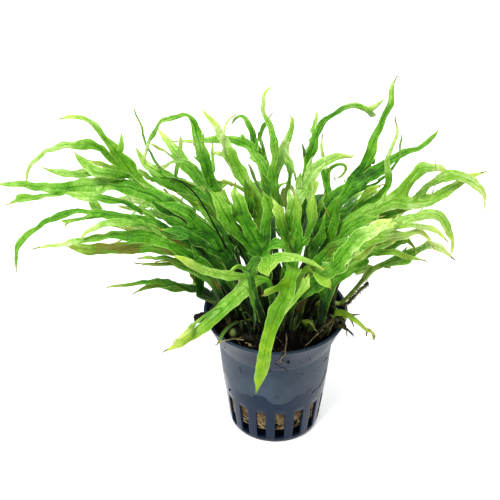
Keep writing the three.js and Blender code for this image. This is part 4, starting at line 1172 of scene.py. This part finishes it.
# %% The blade
LEVELS = 2
CUTS = 3
BENDS = [(15.0, 0.7), (6.0, 0.8), (3.0, 0.25)]
MARGIN_LOBES = [(7.0, 0.6), (3.4, 0.36), (1.7, 0.1)]
BLADE_WAVES = [(7.0, 1.0), (3.4, 0.6), (1.7, 0.1)]
PINCHES = [(8.0, 0.2), (3.5, 0.06)]
WAVE_ALLOWANCE = 0.18
MOST_WAVED_IN = 0.6
MOST_DRAWN_IN = 0.85
STALK_TO_BLADE = (0.8, 1.9)
SWAY_REACH = (4, 26)
BLUNT = 0.5
BLUNT_REACH = 10.0
BLUNTEST = 0.12
STOUT = 0.16
BARE_STALK = "frond_right_stalk"
BARE_STALK_STOUT = 0.25
CALM = 0.25
ROLL = 0.8
ROLL_SIZE = 10.0
PUCKER = 0.09
PUCKER_SIZE = 1.6
GROOVE = 0.2
GROOVE_WIDTH = 0.14
LONGEST_EDGE = 1.3


def finer(mesh):
    """Cuts the long edges that run along the blade, so that its margins can wave."""
    shape = bmesh.new()
    shape.from_mesh(mesh)
    across = shape.verts.layers.float["across"]
    long_ways = [e for e in shape.edges if abs(e.verts[0][across] - e.verts[1][across]) < 0.1
                 and e.calc_length() > LONGEST_EDGE * MM]
    bmesh.ops.subdivide_edges(shape, edges=long_ways, cuts=CUTS, use_grid_fill=True)
    return to_mesh(shape, mesh.name + "_fine")


def swayed(points, free):
    """The points after the bends that all fronds share; free is 0 at a root and 1 further up."""
    move = sum(depth * drift(points, size, 3 + i) for i, (size, depth) in enumerate(BENDS))
    return points + move * free[:, None]


def blade(mesh, seed, stout=STOUT, sway=1.0):
    """Bends the frond, rolls and pinches it, waves its margins and puckers its surface. stout is
    how much a round stalk gains on its solid, which subdivision made thinner."""
    points = places(mesh)
    across, half_width, root_mm, tip_mm, narrow = (
        read_values(mesh, n) for n in ("across", "half_width", "root_mm", "tip_mm", "narrow"))
    facing, outward = read_values(mesh, "facing", 3), read_values(mesh, "outward", 3)
    wide = ease(*STALK_TO_BLADE, half_width)
    ways = np.column_stack([root_mm, np.full_like(root_mm, seed), root_mm * 0])
    side = noise_sum(points, MARGIN_LOBES, seed) * across
    side += half_width * across * (WAVE_ALLOWANCE + noise_sum(ways, PINCHES, seed + 3))
    near_tip = np.clip(tip_mm / BLUNT_REACH, BLUNTEST, 1)
    side += BLUNT * half_width * across * (np.sqrt(1 - (1 - near_tip)**2) / near_tip - 1)
    side = np.maximum(side, -MOST_WAVED_IN * half_width * across)
    side -= narrow * half_width * across
    side = np.maximum(side, -MOST_DRAWN_IN * half_width * across)
    swing = np.einsum("ij,ij->i", outward, drift(points, ROLL_SIZE, seed + 12))
    lift = noise_sum(points, BLADE_WAVES, seed + 5) * across**1.4
    lift += ROLL * half_width * across * swing
    lift += PUCKER * rough(points, PUCKER_SIZE, seed + 9) * (1 - np.abs(2 * across - 1))
    lift -= GROOVE * np.exp(-(across / GROOVE_WIDTH) ** 2)
    moved = swayed(points, ease(*SWAY_REACH, root_mm) * sway)
    moved += outward * (side * wide)[:, None]
    moved += facing * (lift * wide)[:, None]
    moved += vectors(mesh, "normal") * (stout * (1 - wide))[:, None]
    move_to(mesh, moved)
    return points, moved


# %% [markdown]
# ## Side lobes and small leaves
#
# Besides its main fingers, a frond carries small pointed lobes along its margins. Each is a strip
# of a few faces that starts inside the blade, leaves its margin forwards and curls a little. Its
# points carry the same measures as the blade, so that it takes the same finish, and Solidify
# gives it its thickness. The few small leaves between the fronds' stalks are strips too.

# %% Side lobes
LOBE_STEPS = 6
LOBE_THICKNESS = 0.34
UPWARD = Vector((0, -0.5, 0.87))
LOBE_SPACING = 5.0
LOBE_SINK = 1.6
LOBE_SHORTEST, LOBE_SPREAD, LOBE_LONGEST = 1.8, 2.0, 7.0
LOBE_ROOM = 1.6
LOBE_FROM_ROOT = 20
LOBE_FROM_TIP = 7
LOBE_TRIES = 60
LOBE_MEASURES = ("root_mm", "tip_mm", "across", "side_mm", "tone", "brown", "ripe")
LOBE_SHAPE = (0.9, 1.0, 0.92, 0.78, 0.6, 0.37, 0.06)


def margin_directions(mesh, points, root_mm, on_edge):
    """At each point of the margins, the way in which the margin runs away from the root."""
    pairs = np.zeros(len(mesh.edges) * 2, np.int32)
    mesh.edges.foreach_get("vertices", pairs)
    pairs = pairs.reshape(-1, 2)
    pairs = pairs[on_edge[pairs].all(axis=1)]
    rise = np.where(root_mm[pairs[:, 1]] > root_mm[pairs[:, 0]], 1, -1)
    step = (points[pairs[:, 1]] - points[pairs[:, 0]]) * rise[:, None]
    total = np.zeros_like(points)
    np.add.at(total, pairs[:, 0], step)
    np.add.at(total, pairs[:, 1], step)
    return total / np.maximum(np.linalg.norm(total, axis=1), 1e-9)[:, None]


def leaf_strip(shape, layers, route, half_width, normal, measures):
    """A strip of blade along a route. measures: the value of each attribute at its start and end."""
    made = bmesh.ops.create_grid(shape, x_segments=LOBE_STEPS, y_segments=2, size=1)
    for v in made["verts"]:
        row, share = round((v.co.x + 1) / 2 * LOBE_STEPS), v.co.y
        heading = route[min(row + 1, LOBE_STEPS)] - route[max(row - 1, 0)]
        sideways = heading.cross(normal).normalized()
        for name, (first, last) in measures.items():
            v[layers[name]] = first + (last - first) * row / LOBE_STEPS
        v[layers["across"]] = abs(share)
        v[layers["side_mm"]] = share * half_width + 2
        v.co = (route[row] + sideways * share * half_width * LOBE_SHAPE[row]) * MM


# %% Paths and small leaves
def smooth_path(points, radii):
    """A strand through the points, rounded between them. radii: one for each point, or a pair for
    the first and the last."""
    points = [Vector(p) for p in points]
    if len(radii) == 2:
        radii = np.linspace(*radii, len(points))
    path = []
    for i in range(len(points) - 1):
        a, b, c, d = (points[min(max(j, 0), len(points) - 1)] for j in (i - 1, i, i + 1, i + 2))
        for t in (0, 0.25, 0.5, 0.75):
            place = 0.5 * (2 * b + (c - a) * t + (2 * a - 5 * b + 4 * c - d) * t**2
                           + (3 * b - a - 3 * c + d) * t**3)
            path.append((place, radii[i] + (radii[i + 1] - radii[i]) * t))
    path.append((points[-1], radii[-1]))
    return path


def small_leaf(shape, layers, points, half_width, tone):
    """A small leaf that grows between the stalks, through a few places."""
    path = [place for place, _ in smooth_path(points, (0, 0))]
    route = [path[round(i * (len(path) - 1) / LOBE_STEPS)] for i in range(LOBE_STEPS + 1)]
    measures = {"root_mm": (20, 34), "tip_mm": (30, 6), "tone": (tone, tone)}
    leaf_strip(shape, layers, route, half_width, UPWARD, measures)


# %% Lobes of a frond
def side_lobe(shape, layers, start, forward, aside, normal, measures, pick):
    """One lobe: it starts inside the blade, and its route turns from aside to forward."""
    length = min(pick.expovariate(1 / LOBE_SPREAD) + LOBE_SHORTEST, LOBE_LONGEST)
    half_width = min(0.5 + length * 0.13, 1.2) * pick.uniform(0.8, 1.2)
    curl = pick.uniform(-0.16, 0.16)
    heading = (forward + aside * pick.uniform(0.35, 0.8)).normalized()
    route, place = [], start - heading * LOBE_SINK
    for _ in range(LOBE_STEPS + 1):
        route.append(place.copy())
        place += heading * (length + LOBE_SINK) / LOBE_STEPS
        heading = (heading + forward * 0.08 + normal * curl).normalized()
    leaf_strip(shape, layers, route, half_width, normal, measures)


def lobes_of(shape, layers, mesh, points, tone, brown, pick, most):
    """Adds lobes along the margins of one frond, well apart from each other."""
    across, half_width, root_mm, tip_mm, ripe, narrow = (
        read_values(mesh, n) for n in ("across", "half_width", "root_mm", "tip_mm", "ripe", "narrow"))
    on_edge = across > 0.97
    forward = margin_directions(mesh, points, root_mm, on_edge)
    facing, outward = read_values(mesh, "facing", 3), read_values(mesh, "outward", 3)
    fit = np.flatnonzero(on_edge & (half_width * (1 - narrow) > LOBE_ROOM)
                         & (root_mm > LOBE_FROM_ROOT) & (tip_mm > LOBE_FROM_TIP))
    taken = []
    for i in pick.sample(fit.tolist(), min(len(fit), LOBE_TRIES)):
        if len(taken) >= most:
            break
        if all(np.linalg.norm(points[i] - points[j]) > LOBE_SPACING for j in taken):
            taken.append(i)
            measures = {"root_mm": (root_mm[i], root_mm[i] + 3), "tip_mm": (tip_mm[i], tip_mm[i] * 0.7),
                        "tone": (tone, tone), "brown": (brown, brown), "ripe": (ripe[i], ripe[i])}
            side_lobe(shape, layers, Vector(points[i]), Vector(forward[i]), Vector(outward[i]),
                      Vector(facing[i]), measures, pick)
    return len(taken)


# %% [markdown]
# ## The leaf finish
#
# A frond is deep green where it is old and thick, and lime to yellow at its young tips. Near its root it
# turns nearly black in patches, partly its own older colour and partly painted shade of the crowded base.
# Fine streaks run along it, a net of veins parts it in small fields, uneven growth mottles it, its midrib
# shows as a darker line, and its thin margin is lighter. Streaks and veins follow the blade, so they read
# the distances that were stored on its points and not its place.

# %% Leaf finish
# The darkest stops, met near each root, are partly the stalk's own colour and partly painted shade.
AGES = [(0.0, (5, 15, 1)), (0.12, (12, 40, 2)), (0.3, (32, 82, 3)), (0.5, (66, 124, 12)),
        (0.7, (106, 152, 50)), (0.86, (152, 184, 102)), (1.0, (190, 208, 148))]
NET_ALONG = 0.55
NET_ACROSS = 1.15


def along_blade(nodes, scale_along, scale_across):
    """A place on the blade: how far along it and how far to the side of its midrib."""
    vector = nodes.add("ShaderNodeCombineXYZ")
    nodes.set(vector.inputs[0], nodes.times(nodes.attribute("root_mm"), scale_along))
    nodes.set(vector.inputs[1], nodes.times(nodes.attribute("side_mm"), scale_across))
    nodes.set(vector.inputs[2], nodes.times(nodes.attribute("tone"), 50.0))
    return vector.outputs[0]


def age_of(nodes):
    """From 0 at a frond's root to 1 at its tips, uneven, and raised on young fronds."""
    root, tip = nodes.attribute("root_mm"), nodes.attribute("tip_mm")
    age = nodes.math("DIVIDE", root, nodes.plus(nodes.plus(root, tip), 14.0))
    young = nodes.times(nodes.attribute("tone"), nodes.span(root, 4, 24))
    return nodes.plus(nodes.times(age, 0.885), nodes.times(young, 0.3))


def shifted(nodes, age, mask, amount):
    """The age where the mask is 0.5, and more or less of it where the mask is not."""
    return nodes.plus(age, nodes.times(nodes.math("SUBTRACT", mask, 0.5), amount))


def vein_net(nodes):
    """The veins: 0 along each vein of the net and up to 1 in the fields between them."""
    cells = nodes.add("ShaderNodeTexVoronoi", feature="DISTANCE_TO_EDGE")
    nodes.set(cells.inputs["Vector"], along_blade(nodes, NET_ALONG, NET_ACROSS))
    cells.inputs["Scale"].default_value = 1.0
    return nodes.span(cells.outputs["Distance"], 0.0, 0.16)


# %% Leaf material
def leaf_finish():
    material, nodes, shader = new_material("leaf", 0.5, 0.12)
    across, tip, root = (nodes.attribute(name) for name in ("across", "tip_mm", "root_mm"))
    ramp = nodes.add("ShaderNodeValToRGB")
    while len(ramp.color_ramp.elements) < len(AGES):
        ramp.color_ramp.elements.new(0.5)
    for element, (place, shade) in zip(ramp.color_ramp.elements, AGES):
        element.position = place
        element.color = linear(*shade)
    veins = vein_net(nodes)
    streaks = nodes.noise(along_blade(nodes, 0.13, 1.9), 1.0, 3.0)
    age = age_of(nodes)
    for mask, amount in (
            (nodes.mottle(75, 0.3, 0.7), 0.25), (nodes.mottle(420, 0.42, 0.62, 4.0), 0.07),
            (nodes.mottle(1200, 0.4, 0.6), 0.05), (nodes.span(streaks, 0.3, 0.7), 0.17), (veins, 0.06),
            (nodes.span(across, 0.86, 1.0), 0.12), (nodes.span(across, 0.02, 0.14), 0.13)):
        age = shifted(nodes, age, mask, amount)
    nodes.set(ramp.inputs["Fac"], age)
    colour = nodes.tint(ramp.outputs["Color"], nodes.mottle(60, 0.54, 0.7), 0.35, (10, 74, 12))
    ripe = nodes.times(nodes.attribute("ripe"), nodes.span(tip, 52, 12))
    ripe_shade = nodes.shades(nodes.mottle(260, 0.3, 0.7, 5.0), (80, 126, 2), (118, 150, 14))
    colour = nodes.mix(nodes.times(ripe, 0.85), colour, ripe_shade)
    yellow = nodes.times(nodes.span(tip, 14, 0), nodes.span(nodes.attribute("tone"), -0.5, 0.6))
    colour = nodes.tint(colour, yellow, 0.5, (180, 190, 62))
    colour = nodes.tint(colour, nodes.span(across, 0.88, 1.0), 0.35, (168, 196, 108))
    bare = nodes.shades(nodes.mottle(300, 0.35, 0.65), (104, 138, 44), (156, 184, 88))
    colour = nodes.mix(nodes.attribute("bare"), colour, bare)
    # Near the root the stalks darken in patches: partly their own older colour, partly painted shade of
    # the crowded base.
    low = nodes.times(nodes.span(root, 22, 6), nodes.mottle(160, 0.35, 0.6))
    low = nodes.times(low, nodes.span(nodes.attribute("tone"), 1.2, 0.7))
    colour = nodes.tint(colour, low, 0.75, (16, 22, 6))
    specks = nodes.times(nodes.mottle(1500, 0.64, 0.7, 1.0), nodes.mottle(70, 0.5, 0.6))
    colour = nodes.tint(colour, specks, 0.6, (52, 62, 12))
    brown = nodes.times(nodes.attribute("brown"), nodes.mottle(110, 0.42, 0.66, 4.0))
    colour = nodes.tint(colour, brown, 0.8, (92, 76, 26))
    colour = nodes.tint(colour, nodes.span(tip, 1.6, 0.3), 0.5, (110, 92, 40))
    nodes.set(shader["Base Color"], colour)
    shader["Subsurface Weight"].default_value = 0.1
    shader["Subsurface Radius"].default_value = (0.4, 1.0, 0.1)
    shader["Subsurface Scale"].default_value = 0.0012
    fields = nodes.add("ShaderNodeBump")
    nodes.set(fields.inputs["Height"], veins)
    fields.inputs["Distance"].default_value = 0.00012
    fields.inputs["Strength"].default_value = 0.6
    nodes.set(fields.inputs["Normal"], nodes.group("grain", scale=1000, depth=0.0001))
    nodes.set(shader["Normal"], fields.outputs["Normal"])
    return material


leaf = leaf_finish()
print("nodes in the leaf's material:", len(leaf.node_tree.nodes))

# %% [markdown]
# ## The fronds
#
# Every frond goes through the same steps, with its own seed. Some are younger and more yellow,
# and a few are dying back and show brown. Many tips have withered to a thin curled thread, which
# is a strand that starts in the tip.

# %% What sets each frond apart
SMALL_LEAVES = [
    ([(20.4, -3.8, 53.2), (18.6, -2.6, 56.6), (16.0, -2.8, 55.6), (14.2, -5.0, 51.4)], 1.9, 0.1),
    ([(4.4, -6, 50.6), (5.2, -8.4, 52.4), (6.6, -10.6, 51.6), (7.4, -12.8, 49.8)], 1.5, -0.2),
    ([(5.4, -8.6, 50.8), (7.4, -10.2, 51.6), (9.2, -10.6, 50.6)], 0.9, 0.2),
    ([(11.2, -6.6, 50.2), (12.6, -8.6, 51.8), (14.6, -9.4, 51.0)], 1.0, 1.0),
    ([(12.2, -5.0, 54.4), (8.8, -8.0, 55.0), (6.9, -9.8, 53.8), (6.4, -12.6, 50.8)], 0.42, 0.8),
    ([(-15.8, -7.6, 50.6), (-13.2, -10.4, 52.0), (-9.4, -15.4, 49.6)], 0.75, 0.7),
    ([(-3.1, -9.7, 50.6), (-6.5, -9.6, 54.6), (-11, -8.4, 56.4), (-16.0, -6.4, 56.8)], 1.5, -0.2),
    ([(2.0, -12.4, 50.0), (-2.4, -12.6, 53.8), (-7.2, -11.6, 54.8), (-11.2, -11.0, 53.8)], 0.9, 0.0),
]
FORKED_TIP = [
    [((32.0, -29.6, 65.2), 0.4), ((33.4, -31.4, 64.8), 0.65), ((33.8, -32.2, 64.0), 0.6),
     ((33.6, -32.4, 62.8), 0.3)],
    [((31.4, -29.0, 65.2), 0.3), ((31.4, -29.8, 64.0), 0.35), ((31.3, -30.2, 62.6), 0.2)],
]


def by_frond(groups):
    """A value for each frond, from a table of a value and the names, without prefix, that have it."""
    return {"frond_" + name: value for value, names in groups.items() for name in names.split()}


YOUNG = by_frond({
    -0.5: "left_inner_1 centre_3", -0.4: "left_reach left_droop front_inner centre_1 centre_2",
    -0.3: "right_inner", -0.1: "left_fork right_crown", 0.1: "left_inner_2 right_long right_hand",
    0.2: "front_hand", 0.3: "front_arch top_8 right_low", 0.35: "top_7",
    0.4: "top_1 top_2 right_reach", 0.5: "front_left top_6 top_9 right_light right_droop",
    0.6: "top_4 right_stalk", 0.7: "left_arch",
})
YOUNG.update(young_leaf_1=0.5, young_leaf_2=0.9)
BROWN = by_frond({
    0.2: "centre_1", 0.25: "top_6", 0.3: "centre_3", 0.4: "left_wavy",
    0.5: "left_low right_low right_long", 0.6: "right_curl", 1.0: "left_broad",
})
print("fronds with a tone of their own:", len(YOUNG), "browned fronds:", len(BROWN))

# %% Withered tips
WITHERED_SHARE = 0.6
MOST_LOBES = 4
FRONT_BLADE = "frond_front_hand"


def withered_tip(before, after, tip, pick):
    """A thin curl that grows out of a blade's tip. before and after: the places of the mesh's
    points before and after they were moved."""
    reach = np.linalg.norm(before - tip, axis=1)
    end = Vector(after[reach.argmin()])
    inside = Vector(after[(reach > 2.2) & (reach < 3.6)].mean(axis=0))
    heading = (end - inside).normalized()
    angle = pick.uniform(-0.65, 0.65)
    turn = Matrix.Rotation(angle, 3, Vector((pick.uniform(-1, 1), -1, pick.uniform(-1, 1))))
    step = pick.uniform(0.15, 0.45)
    path = [(inside, 0.2), (inside.lerp(end, 0.5), 0.3), (end - heading * 0.3, 0.28)]
    place = end + heading * step
    for radius in (0.25, 0.22, 0.18, 0.14, 0.1, 0.07):
        path.append((place.copy(), radius))
        heading = turn @ heading
        place += heading * step
    return path


# %% All fronds
frond_names = [n for n in sorted(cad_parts) if n.startswith(("frond_", "young_leaf_"))]
tone_of = random.Random(5)
curls = []
faces = 0
lobe_shape = bmesh.new()
lobe_layers = {n: lobe_shape.verts.layers.float.new(n) for n in LOBE_MEASURES}
lobe_count = 0
for number, name in enumerate(frond_names):
    at_front = name.startswith("frond_front")
    cage, tips = frond_cage(name)
    mesh = finer(subdivided(cage, LEVELS))
    stout = BARE_STALK_STOUT if name == BARE_STALK else STOUT
    before, after = blade(mesh, 20 * number + 1, stout, CALM if at_front else 1.0)
    tone = YOUNG.get(name, 0.0) + tone_of.uniform(-0.4, 0.4)
    brown = BROWN.get(name, 0.0)
    write_value(mesh, "tone", tone)
    write_value(mesh, "brown", brown)
    if name == BARE_STALK:
        write_value(mesh, "bare", ease(28, 20, read_values(mesh, "root_mm")))
    most = 0 if at_front or name.startswith("young") else MOST_LOBES
    lobe_pick = random.Random(77 + number)
    lobe_count += lobes_of(lobe_shape, lobe_layers, mesh, after, tone, brown, lobe_pick, most)
    put(name.replace("frond", "blade").replace("young", "small"), mesh, leaf, [name])
    faces += len(mesh.polygons)
    for tip in (tips[1:] if name == FRONT_BLADE else tips):
        if tone_of.random() < WITHERED_SHARE:
            curls.append(withered_tip(before, after, tip, tone_of))
for points, half_width, tone in SMALL_LEAVES:
    small_leaf(lobe_shape, lobe_layers, points, half_width, tone)
put("side_lobes", thickened(to_mesh(lobe_shape, "side_lobes"), LOBE_THICKNESS), leaf)
curls += FORKED_TIP
put_strands("withered_tips", curls, withered, sides=1)
print("fronds:", len(frond_names), "faces:", faces, "side lobes:", lobe_count, "curls:", len(curls))

# %% [markdown]
# ## Dead and dry pieces
#
# A thin dry stem leans on the left fronds, two pale filaments stand up on the right, and one root
# hangs over the rim. They are strands, and so are a dry twig on the wool and the shrivelled ends
# of a dead leaf. The broken stub and the dead leaf keep the forms of their solids, made finer and
# rougher.

# %% Dead and dry pieces
READING_ZERO = Vector((-0.5, 0, 1))


def reading(across, up, depth):
    """The place that was read at (across, up) on an upright plane through the pot's axis, slid
    along its line of sight until it lies this far back."""
    eye = EYE / MM
    on_plane = Vector((across, 0, up)) + READING_ZERO
    return eye + (on_plane - eye) * (depth - eye.y) / -eye.y


DRY_STEM = [(-40, 106, 9), (-35, 105.4, 6), (-31, 103, 3), (-27, 98, 0), (-24, 92, -3),
            (-21, 85, -4), (-18, 78, -3), (-15, 68, 2), (-13, 57, 6)]
DRY_STEM_RADII = [0.08, 0.2, 0.26, 0.3, 0.3, 0.32, 0.36, 0.45, 0.5]
FILAMENTS = [
    [(54, 114, 8), (55, 105, 6), (52, 96, 5), (47, 90, 4), (40, 84, 4), (32, 76, 5), (25, 66, 6),
     (19, 52, 4)],
    [(60, 103, 14), (54, 101.5, 12), (48, 97, 10), (41, 90, 8), (33, 80, 7), (24, 64, 6),
     (18, 51, 5)],
]
HANGING = [(3.2, -11.6, 51.2), (3.9, -15.7, 51.4), (4.0, -20.5, 51.8), (3.6, -25.0, 52.4),
           on_wall(7.4, 50.9, 0.8), on_wall(5.8, 49.6, 0.35), on_wall(4.8, 48.2, 0.3),
           on_wall(4.5, 47.0, 0.3), on_wall(5.2, 46.0, 0.3), on_wall(6.6, 45.4, 0.5),
           on_wall(7.0, 46.2, 1.0)]
HANGING_FORKS = [
    [on_wall(4.6, 47.4, 0.3), on_wall(3.2, 46.8, 0.5), on_wall(2.4, 46.0, 0.9)],
    [on_wall(6.4, 45.4, 0.4), on_wall(7.6, 44.6, 0.5), on_wall(9.0, 44.6, 1.0)],
]
dry_stem = [smooth_path([reading(*p) for p in DRY_STEM], DRY_STEM_RADII)]
filaments = [smooth_path([reading(*p) for p in line], (0.13, 0.3)) for line in FILAMENTS]
hanging = [smooth_path(HANGING, (0.26, 0.17))]
hanging += [smooth_path(line, (0.13, 0.07)) for line in HANGING_FORKS]
put_strands("thin_dry_stem", dry_stem, dark_root, sides=1)
put_strands("pale_filaments", filaments, dry_root, sides=1)
put_strands("hanging_dry_root", hanging, dry_root, ["hanging_root"], sides=1)
print("dry stems, filaments and hanging roots:", len(dry_stem) + len(filaments) + len(hanging))

# %% Stub, dead leaf and twig
SHRUNK_LEAF = 0.6


def shrunk(mesh, share):
    """Draws the mesh in to its own long axis, to this share of its thickness."""
    points = places(mesh)
    middle = points.mean(axis=0)
    axis = np.linalg.svd(points - middle, full_matrices=False)[2][0]
    along = middle + np.outer((points - middle) @ axis, axis)
    move_to(mesh, along + (points - along) * share)


stub = fine_solid("broken_stub", 3)
bumpy(stub, [(2.6, 0.5), (1.0, 0.3)], 80)
put("dark_stub", stub, dark_root, ["broken_stub"])
dead_leaf = fine_solid("dead_leaf", 3)
shrunk(dead_leaf, SHRUNK_LEAF)
bumpy(dead_leaf, [(2.4, 0.6), (0.9, 0.3)], 81)
put("dead_brown_leaf", dead_leaf, dead_brown, ["dead_leaf"])

TWIG = [[(-20.6, -19.4, 50.0), (-17.5, -19.2, 50.9), (-15.1, -18.4, 50.9), (-11.3, -18.4, 50.6)],
        [(-15.6, -18.0, 50.6), (-13.6, -17.4, 50.4), (-12.0, -16.2, 50.0)],
        [(-17.8, -19.0, 50.6), (-16.0, -17.4, 50.0), (-14.6, -15.6, 49.6)]]
SHRIVELLED = [
    [(21.5, -7.5, 53.5), (23.0, -10.5, 55.0), (25.0, -14.0, 54.2), (25.6, -17.0, 51.6)],
    [(22.0, -7.0, 54.0), (24.5, -9.0, 55.8), (27.0, -11.5, 55.0), (28.2, -13.4, 53.0)],
    [(20.5, -7.0, 53.0), (20.0, -9.0, 54.6), (18.5, -11.5, 53.6), (17.2, -13.0, 51.2)],
    [(21.5, -6.0, 53.5), (24.0, -6.5, 55.2), (27.5, -8.0, 54.6), (30.5, -8.8, 55.6)],
]
twig = [smooth_path(line, (0.34, 0.16)) for line in TWIG]
shrivelled = [smooth_path(line, [0.7, 0.55, 0.4, 0.12]) for line in SHRIVELLED]
put_strands("pale_twig", twig, dry_root, ["dry_twig"], sides=1)
put_strands("shrivelled_ends", shrivelled, dead_brown, sides=1)
KNOT = [((21.2 + 0.9 * i - 1.8 * (i % 2), -7.0 - 0.5 * i, 53.4 + 0.3 * i), 2.6, 1.6)
        for i in range(6)]
put_scraps("knot_scraps", KNOT, 5, dead_brown)
print("twigs and shrivelled ends:", len(twig) + len(shrivelled))

# %% [markdown]
# ## The clump of moss and roots
#
# At the right of the rim fine roots and moss cling to a bare stalk. A small lump holds them
# together, and hairs of all lengths leave it in all directions, wander and sag. A second bunch
# of dry fibres grows at the foot of the stalk.

# %% Clump
CLUMP_LOW, CLUMP_HIGH = (Vector(c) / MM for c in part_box("root_clump"))
CLUMP_MIDDLE = (CLUMP_LOW + CLUMP_HIGH) / 2 + Vector((0.8, 0, 2.4))
CLUMP_ALONG = Vector((0.6, 0, 0.8))
FOOT = Vector((20.5, -7.5, 52.0))
KNOT_MIDDLE = Vector((21.8, -7.0, 53.6))
FOOT_ROOTS = 8
LUMP_LENGTH = 0.8
LUMP_THICKNESS = 0.24
MOSS_HAIRS, LONG_HAIRS, FOOT_HAIRS = 300, 16, 60


def hair(pick, start, reach, radius, wander, sag):
    """A hair that leaves its start in any direction, wanders and sags."""
    heading = Vector((pick.gauss(0, 1), pick.gauss(0, 1), pick.gauss(0, 1))).normalized()
    place = start.copy()
    path = []
    for i in range(9):
        path.append((place.copy(), radius * (1 - 0.08 * i)))
        bend = Vector((pick.gauss(0, wander), pick.gauss(0, wander), pick.gauss(-sag, wander)))
        heading = (heading + bend).normalized()
        place += heading * reach
    return path


print("middle of the clump in mm:", [round(c, 1) for c in CLUMP_MIDDLE])

# %% Moss, hairs and foot fibres
moss = tissue("moss", (98, 104, 48), (58, 54, 26), (350, 0.4, 0.6),
              (0.6, (136, 130, 74), 900, 0.55, 0.65), roughness=0.85, scale=1500, depth=0.0003)
lump = fine_solid("root_clump", 3)
middle = np.array(CLUMP_MIDDLE)
axis = np.array(CLUMP_ALONG)
spots = places(lump) - np.array(CLUMP_LOW + CLUMP_HIGH) / 2
along = np.outer(spots @ axis, axis)
move_to(lump, middle + along * LUMP_LENGTH + (spots - along) * LUMP_THICKNESS)
bumpy(lump, [(2.0, 0.7), (0.9, 0.5)], 90)
put("moss_lump", lump, moss, ["root_clump"])
pick = random.Random(31)
moss_hairs = [hair(pick, CLUMP_MIDDLE + CLUMP_ALONG * pick.uniform(-6.6, 6.6), pick.uniform(0.1, 0.24),
                   pick.uniform(0.1, 0.18), 0.45, 0.1) for _ in range(MOSS_HAIRS)]
long_hairs = [hair(pick, CLUMP_MIDDLE + CLUMP_ALONG * pick.uniform(-7, 3), pick.uniform(0.35, 0.7),
                   pick.uniform(0.08, 0.12), 0.5, 0.25) for _ in range(LONG_HAIRS)]
foot_hairs = [hair(pick, FOOT + Vector((pick.gauss(0, 1), pick.gauss(0, 1), 0)), pick.uniform(0.2, 0.5),
                   pick.uniform(0.08, 0.16), 0.3, -0.02) for _ in range(FOOT_HAIRS)]
put_strands("moss_hairs", moss_hairs, moss)
put_strands("clump_roots", long_hairs, brown_tissue)
for i in range(FOOT_ROOTS):
    end = Vector((20.0 - 1.3 * i, -12.5 - 0.9 * i + pick.uniform(-1, 1), 49.6))
    bend = KNOT_MIDDLE.lerp(end, 0.5) + Vector((pick.uniform(-1, 1), -1, pick.uniform(0.5, 1.8)))
    foot_hairs.append(smooth_path([KNOT_MIDDLE, bend, end], [0.3, 0.22, 0.1]))
put_strands("foot_fibres", foot_hairs, dry_root)
print("hairs in the clump and at the foot:", len(moss_hairs) + len(long_hairs) + len(foot_hairs))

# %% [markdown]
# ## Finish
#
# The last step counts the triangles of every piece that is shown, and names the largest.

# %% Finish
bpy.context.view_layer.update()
meshes = [o.data for o in bpy.context.scene.objects if o.type == "MESH" and not o.hide_render]
sizes = {m.name: sum(len(p.vertices) - 2 for p in m.polygons) for m in meshes}
print("triangles:", sum(sizes.values()), "largest pieces:", sorted(sizes.items(), key=lambda s: -s[1])[:4])
